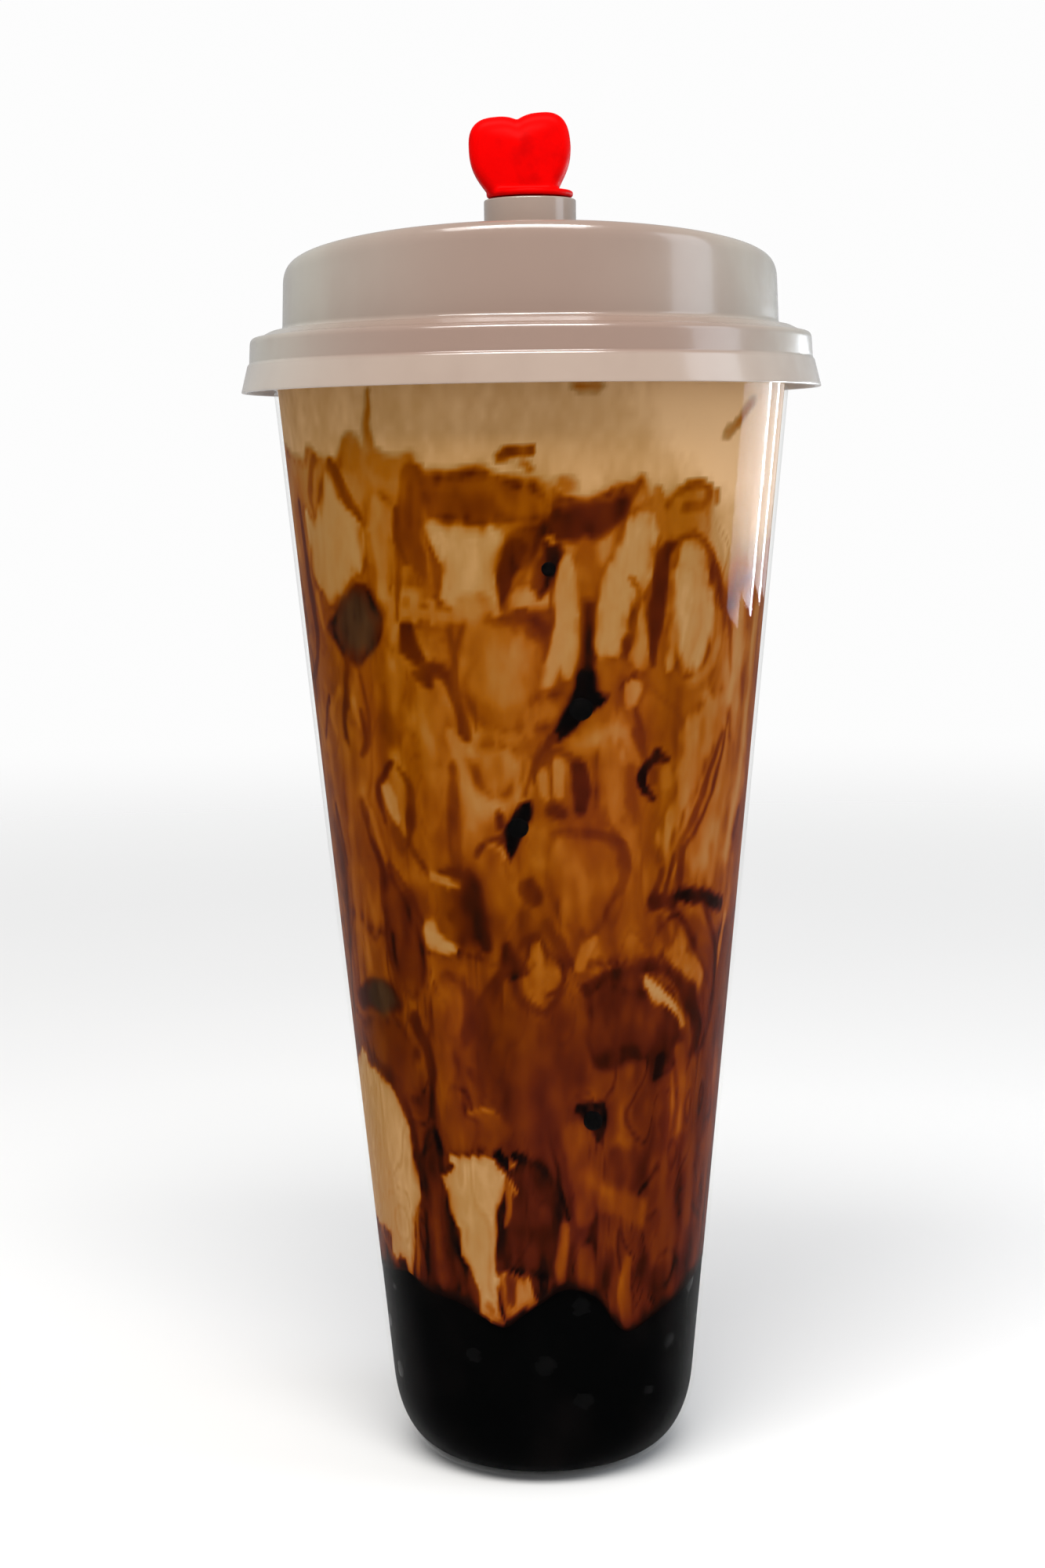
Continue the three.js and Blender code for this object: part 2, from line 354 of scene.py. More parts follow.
# Brush strokes on the drink: tone, half width (0 fills the outline), photograph pixels, softness, dark rim
strokes = [
    # veil of syrup under the milk
    (0.42, 0, [
        (350, 590), (385, 592), (393, 572), (412, 588), (430, 588), (440, 566), (449, 559), (460, 574),
        (478, 578), (505, 584), (522, 580), (528, 600), (534, 614), (548, 602), (575, 604), (617, 598),
        (630, 610), (660, 612), (697, 622), (724, 636), (750, 638), (775, 628), (806, 619), (818, 610),
        (826, 640), (845, 640), (866, 624), (900, 618), (908, 640), (900, 690), (922, 748), (940, 770),
        (955, 735), (970, 712), (1010, 720), (985, 1150), (440, 1150), (400, 850),
    ], 12, 0.1),
    # slow light and dark clouds in the syrup
    (0.30, 34, [(590, 985), (612, 1030)], 60),
    (0.34, 30, [(720, 1080), (752, 1150)], 56),
    (0.34, 26, [(560, 900), (600, 930)], 50),
    (0.36, 26, [(800, 1000), (790, 1080)], 50),
    (0.38, 22, [(560, 1080), (540, 1120)], 46),
    (0.36, 18, [(905, 960), (890, 1090)], 40),
    (0.66, 30, [(585, 1135), (606, 1180)], 46),
    (0.64, 20, [(520, 1150), (528, 1240)], 40),
    (0.62, 16, [(690, 1180), (656, 1215)], 34),
    (0.60, 14, [(934, 1150), (920, 1240)], 30),
    # painted light: paler tones down the right edge, lifting the side that turns away from the lamps
    (0.26, 22, [(938, 800), (926, 950), (900, 1090)], 44),
    (0.20, 12, [(962, 780), (948, 950), (926, 1090)], 30),
    (0.66, 16, [(430, 1060), (446, 1180)], 30),
    (0.24, 0, [
        (575, 938), (600, 948), (640, 955), (668, 965), (676, 990), (664, 1020), (640, 1038), (612, 1044),
        (592, 1020), (586, 985),
    ], 26),
    (0.12, (4, 7, 4), [(574, 940), (586, 954), (604, 964)], 12),
    (0.31, 16, [(636, 880), (650, 930)], 26),
    (0.26, (7, 11, 8), [(900, 884), (906, 960), (882, 1040)], 18),
    (0.29, (6, 9, 5), [(878, 1050), (868, 1090), (852, 1120)], 16),
    (0.33, (10, 16, 10), [(735, 950), (790, 940), (806, 1000)], 26),
    (0.31, (10, 14, 8), [(548, 850), (540, 900), (556, 960)], 24),
    (0.30, (8, 12, 8), [(500, 960), (506, 1010), (516, 1060)], 20),
    (0.32, (8, 10, 6), [(690, 830), (664, 880), (676, 930)], 18),
    (0.34, (9, 14, 9), [(690, 1060), (712, 1110), (740, 1180)], 24),
    (0.64, (2, 4, 3), [(931, 903), (906, 1013), (867, 1090), (848, 1128)], 6),
    (0.62, (2, 4, 2), [(456, 856), (468, 900), (472, 950)], 6),
    (0.62, (3, 5, 2), [(510, 1060), (530, 1090), (552, 1124)], 8),
    (0.62, (2, 4, 2), [(688, 946), (676, 985), (668, 1010)], 7),
    (0.60, (2, 4, 2), [(796, 880), (818, 930), (822, 950)], 7),
    (0.60, (2, 4, 2), [(612, 830), (600, 870), (610, 930)], 8),
    (0.58, (2, 4, 2), [(780, 1060), (800, 1110), (786, 1150)], 8),
    (0.36, 14, [(448, 570), (446, 590)], 14),
    # painted light: the milk at the upper right is made paler where the window's haze falls on it
    (0.02, 0, [(850, 440), (1040, 440), (1020, 640), (968, 710), (940, 720), (925, 640), (880, 570)], 150),
    (0.38, 16, [(480, 590), (512, 596)], 14),
    (0.33, (3, 5, 6), [(467, 500), (468, 530), (470, 570)], 6),
    (0.36, 7, [(738, 492), (764, 491)], 9),
    (0.25, 6, [(962, 512), (944, 534), (928, 554)], 9),
    # tall cream patch at the upper left, under a brown arch
    (0.14, 0, [
        (417, 600), (427, 624), (448, 646), (459, 662), (463, 694), (463, 726), (448, 738), (437, 760),
        (424, 776), (413, 754), (400, 738), (394, 700), (388, 650), (402, 664), (409, 630),
    ], 8, 0.08),
    (0.54, (8, 7, 3), [(402, 586), (396, 628), (402, 657)], 7),
    (0.58, (6, 8, 10, 4), [(420, 588), (432, 612), (443, 636), (458, 660)], 7),
    (0.64, (3, 6, 2), [(434, 618), (442, 636), (459, 664)], 6),
    # olive and tan stripes beside it
    (0.30, 0, [(464, 640), (500, 640), (506, 740), (500, 800), (478, 770), (466, 720)], 12),
    (0.42, 6, [(494, 690), (492, 734)], 8),
    (0.42, 4, [(467, 684), (473, 714), (478, 750)], 6),
    (0.24, 4, [(484, 650), (482, 700), (486, 760)], 7),
    # caramel column and band
    (0.54, (14, 17, 17, 12, 5), [(526, 604), (526, 646), (521, 688), (532, 712), (543, 732)], 8),
    (0.63, 5, [(526, 622), (525, 668)], 8),
    (0.60, 4, [(508, 650), (508, 694), (520, 716)], 6),
    (0.52, 5, [(553, 698), (558, 737), (553, 766)], 7),
    (0.50, 0, [
        (546, 610), (620, 602), (660, 616), (694, 636), (692, 668), (644, 668), (560, 662), (546, 650),
    ], 10),
    (0.58, (13, 15, 13), [(552, 638), (590, 640), (632, 648)], 12),
    (0.62, 4, [(545, 634), (548, 636)], 6),
    (0.48, 14, [(650, 640), (680, 650)], 12),
    # cream patch in the middle
    (0.13, 0, [
        (545, 666), (580, 667), (628, 671), (645, 682), (641, 702), (635, 729), (636, 748), (641, 786),
        (620, 782), (601, 784), (582, 790), (568, 775), (558, 761), (566, 735), (567, 721), (557, 708),
        (550, 684),
    ], 7, 0.05),
    (0.26, 9, [(590, 770), (618, 770)], 12),
    (0.73, (12, 10, 4, 2), [(656, 702), (647, 729), (644, 762), (642, 778)], 5),
    (0.60, 0, [(654, 680), (684, 676), (688, 700), (664, 724), (652, 714)], 9),
    (0.21, 0, [
        (650, 760), (664, 740), (690, 750), (716, 720), (738, 716), (746, 752), (742, 790), (700, 782),
        (655, 784),
    ], 8),
    (0.56, (4, 7, 6), [(640, 584), (655, 576), (679, 577)], 7),
    (0.36, 5, [(668, 592), (676, 602)], 8),
    # dark block with a pointed right end
    (0.54, 0, [
        (818, 609), (810, 630), (799, 646), (791, 662), (778, 678), (764, 687), (748, 690), (727, 688),
        (708, 684), (692, 673), (702, 660), (706, 642), (724, 636), (748, 638), (770, 630), (784, 620),
        (804, 619),
    ], 7),
    (0.83, (16, 21, 15, 6), [(713, 672), (748, 664), (775, 655), (792, 640)], 13),
    (0.78, (10, 8), [(700, 672), (712, 660)], 8),
    (0.34, 9, [(718, 616), (728, 622)], 13),
    # black pearl beside it
    (0.88, (8, 12, 14, 6), [(692, 680), (705, 702), (698, 734), (686, 757)], 12),
    (0.70, 9, [(686, 722), (682, 744)], 8),
    (0.36, 5, [(697, 688), (705, 690)], 6),
    (0.66, 4, [(652, 786), (661, 779), (671, 786)], 5),
    # grey pearl at the left
    (0.73, 0, [
        (456, 748), (470, 753), (478, 769), (491, 799), (488, 818), (472, 832), (456, 845), (438, 840),
        (427, 818), (417, 799), (427, 783), (443, 764),
    ], 7),
    (0.80, 9, [(456, 758), (440, 780)], 12),
    (0.62, 10, [(474, 796), (464, 812)], 14),
    (0.68, (7, 5), [(440, 838), (443, 898)], 7),
    (0.69, (4, 6, 7, 7, 5), [(382, 640), (389, 700), (399, 769), (405, 834), (400, 870)], 7),
    (0.32, 5, [(404, 760), (412, 800)], 8),
    # orange and tan below the pearl
    (0.31, 0, [(500, 752), (545, 742), (552, 800), (520, 800), (500, 828), (492, 790)], 12),
    (0.26, 5, [(531, 756), (531, 794)], 6),
    (0.25, 5, [(548, 770), (548, 797)], 6),
    (0.43, 5, [(521, 764), (520, 802)], 6),
    (0.47, 4, [(541, 775), (546, 828)], 6),
    (0.82, (9, 13, 7), [(520, 803), (522, 828), (535, 845)], 7),
    (0.70, (9, 11, 6), [(542, 855), (569, 860), (584, 884)], 8),
    (0.56, 4, [(569, 785), (575, 826), (583, 854)], 6),
    (0.36, 9, [(500, 850), (500, 900)], 12),
    # orange dome in the middle
    (0.43, 0, [
        (588, 800), (630, 796), (680, 806), (698, 830), (690, 880), (660, 930), (610, 920), (592, 870),
    ], 14),
    (0.31, 0, [(648, 816), (672, 812), (682, 832), (676, 870), (660, 850)], 11),
    (0.50, (8, 12, 13, 11, 9), [(646, 790), (668, 792), (690, 800), (703, 820), (690, 868)], 8),
    (0.56, 4, [(706, 812), (700, 840), (684, 872)], 6),
    (0.52, 4, [(598, 791), (613, 783)], 6),
    (0.30, 8, [(559, 876), (561, 902)], 8),
    # beige column and the dark drip beside it
    (0.20, 0, [
        (719, 716), (740, 721), (746, 748), (743, 788), (740, 842), (727, 866), (716, 856), (712, 800),
    ], 9),
    (0.34, 5, [(731, 795), (731, 803)], 7),
    (0.45, (10, 12, 9), [(751, 690), (754, 748), (752, 790)], 8),
    (0.42, 4, [(740, 714), (748, 736)], 6),
    (0.42, 4, [(780, 708), (764, 738)], 6),
    (0.84, (5, 8, 9, 16), [(753, 770), (752, 812), (750, 850), (744, 892)], 14),
    # leaf of cream at the right, crossed by thin syrup lines
    (0.17, 0, [
        (805, 654), (831, 657), (842, 668), (839, 690), (834, 721), (827, 748), (816, 775), (802, 796),
        (794, 834), (764, 838), (762, 800), (762, 764), (767, 737), (778, 716), (786, 694), (794, 668),
    ], 8, 0.04),
    (0.18, 0, [(821, 772), (826, 788), (829, 823), (826, 852), (807, 858), (799, 836), (807, 801)], 7),
    (0.46, (4, 3, 3, 5), [(806, 736), (818, 758), (810, 788), (799, 818)], 5),
    (0.62, 7, [(797, 820), (796, 828)], 6),
    (0.40, 9, [(770, 850), (800, 852)], 10),
    (0.62, 4, [(794, 876), (810, 860)], 5),
    (0.46, 4, [(810, 651), (826, 643), (837, 627)], 5),
    (0.38, 8, [(838, 630), (845, 662), (853, 684)], 9),
    (0.44, 5, [(866, 625), (882, 619), (901, 620), (905, 632), (896, 648), (874, 646)], 6),
    (0.40, 3, [(914, 626), (914, 640)], 5),
    # dark red drip, arch and pale panels
    (0.20, 0, [
        (861, 726), (888, 734), (885, 775), (874, 823), (858, 855), (848, 852), (850, 801), (856, 753),
    ], 8),
    (0.22, 0, [
        (901, 726), (917, 748), (920, 780), (909, 815), (888, 855), (880, 850), (896, 801), (898, 761),
    ], 8),
    (0.36, 12, [(872, 706), (882, 716)], 12),
    (0.38, 5, [(896, 716), (890, 769), (874, 828), (866, 868)], 8),
    (0.47, 6, [(847, 698), (864, 689), (882, 686), (893, 702), (894, 718)], 6),
    (0.70, (6, 10, 11, 10, 4), [(858, 690), (846, 710), (842, 761), (837, 801), (834, 850)], 6),
    (0.50, (4, 5, 6, 6), [(901, 716), (920, 748), (922, 791), (909, 855)], 6),
    (0.50, 4, [(930, 788), (933, 855), (931, 900)], 6),
    (0.27, 6, [(944, 770), (942, 840), (940, 900)], 9),
    (0.36, 7, [(962, 716), (962, 760), (952, 840)], 10),
    (0.30, 5, [(968, 760), (960, 850)], 8),
    # lines at the left edge
    (0.34, 6, [(431, 876), (424, 911), (430, 938)], 7),
    (0.33, 5, [(450, 895), (458, 922)], 6),
    (0.75, 5, [(441, 858), (439, 913), (442, 948)], 6),
    (0.71, 4, [(420, 893), (417, 938)], 6),
    (0.64, 5, [(460, 905), (468, 940), (463, 964)], 6),
    (0.38, 8, [(420, 950), (432, 1030)], 10),
    (0.71, 4, [(430, 1030), (442, 1102)], 6),
    (0.41, (7, 8, 8, 8), [(440, 952), (448, 1050), (456, 1160), (463, 1256)], 8),
    (0.42, 6, [(462, 1112), (471, 1248)], 8),
    (0.73, (4, 5, 6), [(442, 1130), (446, 1180), (452, 1284)], 6),
    # orange middle with red lines
    (0.53, 6, [(485, 874), (487, 930)], 9),
    (0.35, 9, [(557, 873), (565, 908), (557, 932)], 9),
    (0.68, (5, 8, 8), [(576, 876), (592, 911), (594, 940)], 8),
    (0.66, 6, [(530, 860), (548, 871)], 7),
    (0.24, 8, [(574, 936), (587, 957)], 7),
    (0.31, 0, [(597, 954), (637, 946), (664, 972), (664, 999), (637, 1016), (613, 1010), (600, 983)], 14),
    (0.26, 8, [(640, 960), (652, 980)], 12),
    (0.69, (4, 6, 6, 4), [(498, 976), (487, 999), (485, 1021), (490, 1048)], 6),
    (0.65, (4, 6, 6, 4), [(506, 979), (522, 1010), (525, 1042), (519, 1074)], 6),
    (0.60, 9, [(505, 1060), (510, 1078)], 10),
    (0.19, (7, 11, 6), [(493, 1006), (500, 1026), (508, 1046)], 6),
    (0.60, (6, 9, 9), [(578, 980), (578, 1048), (584, 1096)], 10),
    # painted highlight: a pale glint at the lower left of the black pearl
    (0.20, (4, 7, 5), [(616, 1088), (628, 1082), (642, 1090)], 9),
    (0.98, 0, [(672, 1021), (676, 1042), (664, 1064), (651, 1093), (643, 1074), (641, 1053), (656, 1031)], 6),
    (0.46, 8, [(614, 1091), (630, 1090)], 7),
    (0.72, 4, [(607, 1088), (621, 1076), (641, 1068)], 6),
    (0.72, 6, [(634, 1038), (635, 1052)], 8),
    (0.33, 6, [(474, 1042), (487, 1082), (491, 1106)], 7),
    (0.68, (5, 6, 7, 7, 7), [(463, 1026), (474, 1074), (487, 1106), (491, 1152), (514, 1280)], 7),
    (0.64, 0, [
        (492, 1106), (509, 1130), (530, 1181), (541, 1208),
        (546, 1248), (530, 1280), (514, 1256), (498, 1195),
    ], 10),
    (0.68, 5, [(495, 1101), (519, 1136), (539, 1182)], 6),
    (0.72, (5, 9, 10), [(562, 1114), (589, 1114), (602, 1130)], 7),
    (0.27, 6, [(551, 1117), (584, 1131)], 7),
    (0.81, (13, 18, 10), [(602, 1141), (608, 1174), (616, 1203)], 11),
    (0.69, 10, [(578, 1170), (590, 1176)], 10),
    (0.20, (7, 12, 12, 5), [(549, 1181), (552, 1197), (567, 1211), (584, 1212)], 8),
    (0.46, 9, [(560, 1234), (590, 1238)], 14),
    (0.69, (12, 13), [(672, 1130), (680, 1144)], 9),
    (0.62, 9, [(669, 1168), (672, 1195)], 9),
    (0.79, (12, 13), [(648, 1221), (656, 1240)], 8),
    # black drip and drops in the middle right
    (0.34, 0, [(684, 890), (716, 880), (730, 896), (716, 920), (690, 928), (676, 912)], 13),
    (0.57, 4, [(690, 856), (678, 884)], 6),
    (0.96, 0, [
        (738, 856), (758, 858), (757, 879), (776, 889), (768, 898), (752, 908), (738, 924), (725, 938),
        (713, 947), (703, 938), (709, 929), (722, 903), (733, 881),
    ], 6),
    (0.67, (7, 5, 4), [(704, 942), (688, 962), (680, 994)], 6),
    (0.46, 8, [(766, 910), (772, 914)], 9),
    (0.25, (12, 7), [(808, 876), (803, 898)], 6, 0.05),
    (0.32, 6, [(792, 935), (811, 967)], 8),
    (0.56, 6, [(811, 935), (822, 960)], 7),
    (0.60, 4, [(687, 978), (703, 959), (727, 967), (739, 981)], 6),
    (0.29, 8, [(690, 988), (693, 1013)], 6),
    (0.27, 10, [(713, 976), (712, 1010)], 6),
    (0.55, 2.5, [(702, 967), (700, 1013)], 4),
    (0.67, 11, [(703, 1032), (713, 1034)], 7),
    (0.77, (10, 13, 10), [(741, 978), (744, 1005), (742, 1028)], 7),
    (0.37, 0, [(764, 946), (792, 950), (802, 990), (798, 1046), (770, 1052), (762, 1000)], 12),
    (0.49, 8, [(804, 980), (812, 1050)], 12),
    (0.89, (7, 8, 8, 5), [(838, 962), (825, 978), (822, 999), (832, 1020)], 5),
    (0.87, 5, [(838, 964), (851, 968)], 5),
    (0.58, 5, [(836, 984), (835, 998)], 5),
    (0.36, 9, [(850, 984), (850, 1000)], 7),
    (0.31, 0, [
        (891, 898), (928, 876), (926, 930), (907, 967), (891, 1010), (870, 1048), (851, 1090), (836, 1100),
        (838, 1064), (862, 1010), (864, 940),
    ], 12),
    (0.26, 9, [(908, 900), (900, 960)], 14),
    (0.56, (4, 4, 6, 6, 8), [(921, 935), (907, 978), (891, 1026), (872, 1069), (862, 1092)], 6),
    (0.34, (9, 10, 9), [(934, 940), (924, 1000), (914, 1060)], 10),
    (0.63, 6, [(942, 1032), (936, 1066)], 8),
    (0.46, 4, [(931, 887), (931, 942)], 6),
    # big caramel lobe
    (0.46, 0, [
        (700, 1060), (757, 1060), (786, 1078), (794, 1110),
        (788, 1150), (760, 1190), (716, 1180), (700, 1130),
    ], 14),
    (0.38, 10, [(730, 1110), (752, 1140)], 16),
    (0.60, 6, [(757, 1062), (784, 1074), (795, 1101), (788, 1142)], 7),
    (0.67, (6, 10, 9), [(693, 1176), (714, 1213), (717, 1234)], 8),
    (0.38, 0, [
        (680, 1197), (693, 1211), (712, 1235), (719, 1256),
        (704, 1282), (672, 1284), (658, 1252), (671, 1229),
    ], 8, 0.12),
    (0.31, (7, 9, 11), [(757, 1198), (746, 1208), (740, 1230)], 8),
    # dark bar and red shapes at the right
    (0.66, 6, [(870, 1082), (864, 1128)], 7),
    (0.67, 7, [(843, 1112), (835, 1138)], 7),
    (0.77, 13, [(832, 1152), (854, 1149)], 8),
    (0.43, 3, [(854, 1109), (852, 1140)], 5),
    (0.58, 13, [(880, 1178), (904, 1200)], 10),
    (0.62, 9, [(842, 1176), (850, 1196)], 10),
    (0.92, (9, 11, 9), [(864, 1141), (891, 1144), (919, 1155)], 7),
    (0.37, 0, [
        (867, 1176), (880, 1200), (896, 1224), (894, 1254),
        (886, 1264), (862, 1246), (848, 1219), (861, 1198),
    ], 8, 0.06),
    (0.66, 6, [(886, 1198), (905, 1219), (899, 1256), (888, 1280)], 7),
    (0.27, (5, 6, 4), [(926, 1166), (918, 1208), (910, 1262)], 6),
    (0.69, 4, [(934, 1166), (926, 1236)], 6),
    (0.36, 7, [(908, 1080), (906, 1126)], 10),
    (0.76, (10, 8, 9, 8, 9, 11), [
        (752, 1262), (770, 1246), (800, 1243), (827, 1230), (854, 1240), (880, 1267),
    ], 8),
    # brown lower half
    (0.52, 0, [
        (552, 1262), (592, 1256), (590, 1330), (584, 1390),
        (604, 1420), (640, 1430), (632, 1464), (590, 1470),
        (560, 1462), (553, 1400),
    ], 12),
    (0.64, 0, [
        (606, 1300), (650, 1286), (690, 1300), (740, 1270),
        (748, 1340), (745, 1420), (726, 1470), (660, 1466),
        (630, 1420), (604, 1370),
    ], 18),
    (0.70, 24, [(650, 1400), (690, 1420)], 26),
    (0.66, 6, [(661, 1274), (694, 1290), (721, 1268)], 7),
    (0.71, (8, 5), [(598, 1266), (597, 1322)], 8),
    (0.69, 8, [(600, 1372), (614, 1384)], 9),
    (0.34, 4, [(598, 1418), (616, 1414), (635, 1428)], 5),
    # dark pearl over the left cream patch
    (0.62, 0, [
        (462, 1306), (500, 1296), (524, 1330), (540, 1400), (520, 1400), (490, 1366), (470, 1340),
    ], 10),
    (0.81, (17, 20, 10), [(462, 1274), (490, 1268), (510, 1284)], 10),
    (0.83, (13, 10, 8), [(530, 1304), (547, 1349), (550, 1420)], 9),
    (0.75, 9, [(492, 1364), (510, 1382)], 8),
    (0.12, 0, [
        (462, 1337), (472, 1358), (490, 1377), (508, 1401),
        (520, 1430), (529, 1466), (535, 1505), (536, 1532),
        (530, 1552), (529, 1592), (529, 1626), (522, 1622),
        (516, 1604), (502, 1603), (498, 1572), (484, 1559),
        (476, 1532), (464, 1478), (456, 1406), (452, 1364),
    ], 6, 0.04),
    (0.78, (4, 6, 6, 5), [(474, 1350), (506, 1386), (528, 1440), (542, 1520)], 7),
    (0.44, 5, [(533, 1544), (534, 1628)], 7),
    (0.57, (6, 6, 4), [(487, 1566), (503, 1606), (515, 1622)], 6),
    (0.74, 0, [
        (543, 1440), (562, 1450), (570, 1510), (584, 1570),
        (596, 1630), (570, 1650), (546, 1630), (542, 1540),
    ], 12),
    (0.68, 8, [(556, 1560), (560, 1600)], 12),
    # dark irregular shape at the right
    (0.71, 0, [
        (751, 1262), (781, 1254), (832, 1268), (862, 1289),
        (868, 1316), (856, 1340), (850, 1370), (835, 1379),
        (826, 1358), (802, 1349), (781, 1359), (760, 1361), (752, 1334), (748, 1304),
    ], 9),
    (0.57, 17, [(806, 1284), (832, 1296)], 16),
    (0.73, 0, [
        (752, 1300), (764, 1266), (800, 1244), (838, 1252), (862, 1290), (872, 1340), (846, 1360),
        (806, 1352), (772, 1364), (756, 1340),
    ], 18),
    (0.80, (4, 7, 6, 3), [(750, 1262), (790, 1238), (836, 1236), (876, 1262)], 9),
    (0.78, (5, 8, 6), [(876, 1262), (890, 1306), (880, 1346)], 9),
    (0.72, (4, 10, 6), [(650, 1223), (628, 1260), (604, 1300), (594, 1322)], 12),
    (0.76, (7, 9, 5), [(646, 1212), (655, 1228), (668, 1240)], 10),
    (0.72, (3, 5, 3), [(652, 1222), (672, 1200), (688, 1186)], 8),
    (0.74, (3, 5, 5, 4), [(840, 1187), (864, 1166), (890, 1215), (904, 1256)], 8),
    (0.70, (3, 4, 3), [(694, 1270), (716, 1262), (724, 1226)], 7),
    (0.80, 9, [(766, 1350), (778, 1342)], 9),
    (0.80, 8, [(796, 1336), (812, 1338)], 10),
    (0.24, (7, 8, 6, 5), [(824, 1256), (838, 1274), (862, 1284), (871, 1305)], 6),
    (0.79, (11, 13, 8), [(874, 1268), (889, 1304), (886, 1340)], 8),
    (0.70, 7, [(907, 1268), (898, 1325)], 8),
    (0.90, 9, [(844, 1353), (841, 1372)], 7),
    (0.44, (10, 9, 6), [(868, 1337), (871, 1385), (868, 1440)], 8),
    (0.46, 4, [(859, 1370), (856, 1440)], 6),
    (0.71, 6, [(847, 1394), (847, 1508)], 9),
    (0.93, 0, [(733, 1412), (752, 1408), (769, 1409), (773, 1430), (763, 1455), (751, 1442), (742, 1427)], 6),
    (0.50, 11, [(784, 1454), (796, 1456)], 12),
    (0.71, 20, [(784, 1478), (784, 1504)], 16),
    (0.56, (18, 17, 16), [(730, 1448), (739, 1490), (745, 1550)], 14),
    (0.49, 16, [(772, 1536), (814, 1538)], 14),
    (0.64, 7, [(782, 1558), (786, 1562)], 9),
    (0.60, 18, [(850, 1540), (856, 1580)], 24),
    # second cream patch with a torn right edge, and its hook
    (0.76, 0, [
        (650, 1490), (690, 1484), (716, 1530), (720, 1580),
        (706, 1626), (680, 1626), (648, 1620), (642, 1560),
    ], 12),
    (0.13, 0, [
        (574, 1473), (592, 1475), (616, 1472), (637, 1490),
        (646, 1503), (643, 1526), (637, 1550), (637, 1574),
        (634, 1616), (640, 1630), (640, 1670), (646, 1694),
        (616, 1679), (610, 1646), (598, 1616), (589, 1598),
        (589, 1568), (577, 1550), (568, 1520), (563, 1499), (577, 1492),
    ], 6, 0.04),
    (0.42, (4, 5, 4), [(647, 1504), (649, 1540), (646, 1562)], 5),
    (0.86, 4, [(563, 1474), (566, 1494), (578, 1490)], 5),
    (0.95, 9, [(634, 1472), (647, 1484)], 6),
    (0.94, 5, [(655, 1474), (671, 1478)], 6),
    # painted highlights: two small pale glints on the black pearl
    (0.26, 5, [(653, 1484), (658, 1486)], 4),
    (0.30, 4, [(654, 1508), (658, 1520)], 4),
    (0.34, 6, [(622, 1666), (628, 1672)], 8),
    (0.22, 0, [(637, 1626), (673, 1628), (682, 1652), (691, 1661), (664, 1673), (646, 1688), (640, 1660)], 6),
    (0.58, 9, [(653, 1634), (653, 1660)], 6),
    (0.79, 6, [(712, 1562), (706, 1626)], 8),
    (0.45, (7, 9, 7), [(721, 1566), (715, 1610), (718, 1636)], 8),
    (0.60, 12, [(744, 1600), (746, 1640)], 14),
    (0.75, 9, [(778, 1598), (772, 1640)], 9),
    (0.50, (6, 13, 12), [(800, 1606), (797, 1642), (803, 1686)], 8),
    (0.81, 18, [(822, 1612), (838, 1634)], 16),
    (0.58, 9, [(882, 1480), (876, 1560)], 14),
    (0.54, 7, [(914, 1330), (904, 1460), (892, 1580)], 10),
    # cream and amber between the upper patches
    (0.26, (6, 10, 6), [(520, 782), (580, 790), (636, 778)], 16),
    (0.32, 0, [
        (590, 806), (620, 796), (656, 802), (684, 818), (694, 850), (684, 886), (640, 900), (602, 888),
        (586, 850),
    ], 20),
    (0.62, (3, 6, 7, 4), [(640, 788), (672, 790), (700, 812), (706, 850)], 8),
    (0.60, (2, 4, 3), [(588, 800), (578, 846), (590, 892)], 8),
    (0.17, (7, 13, 15, 9), [(724, 722), (722, 770), (714, 820), (702, 868)], 11),
    (0.56, (2, 3, 2), [(706, 740), (702, 790), (694, 840)], 7),
    (0.16, 0, [
        (872, 690), (892, 694), (908, 730), (914, 780), (906, 828), (890, 852), (870, 858), (860, 820),
        (862, 760),
    ], 11, 0.06),
    (0.30, (5, 8, 6), [(918, 780), (908, 842), (880, 872)], 12),
    (0.58, (2, 4, 2), [(876, 684), (898, 690), (914, 724), (922, 770)], 7),
    (0.19, (8, 15, 12), [(946, 762), (942, 830), (930, 892)], 22),
    (0.25, (7, 11, 7), [(480, 640), (486, 700), (490, 764)], 14),
    (0.58, (2, 4, 2), [(506, 700), (512, 744), (508, 790)], 7),
    # amber and brown at the lower right
    (0.48, (9, 15, 10), [(742, 1500), (780, 1530), (816, 1556)], 26),
    (0.52, (10, 16, 10), [(850, 1480), (846, 1540), (836, 1600)], 30),
    (0.56, (8, 12, 8), [(888, 1440), (878, 1520), (866, 1590)], 22),
    (0.50, (8, 10, 6), [(612, 1420), (640, 1440), (628, 1460)], 14),
    # deep brown patches and facets in the lower middle
    (0.80, (8, 15, 13, 8), [(596, 1126), (604, 1160), (600, 1186), (590, 1204)], 24),
    (0.82, (5, 9, 6), [(644, 1208), (650, 1226), (656, 1240)], 10),
    (0.70, (4, 9, 10, 5), [(648, 1236), (630, 1270), (608, 1306), (596, 1330)], 14),
    (0.78, (4, 7, 7, 4), [(900, 1160), (912, 1220), (906, 1290), (892, 1340)], 10),
    (0.76, (3, 6, 4), [(862, 1090), (852, 1120), (846, 1150)], 8),
    (0.13, (7, 9, 4), [(824, 1250), (838, 1264), (862, 1288)], 7),
    (0.15, (5, 10, 5), [(546, 1190), (564, 1206), (580, 1216)], 8),
]


def skinRadius(z):
    return coneRadius(z) - cup["wall"] + drink["into"]


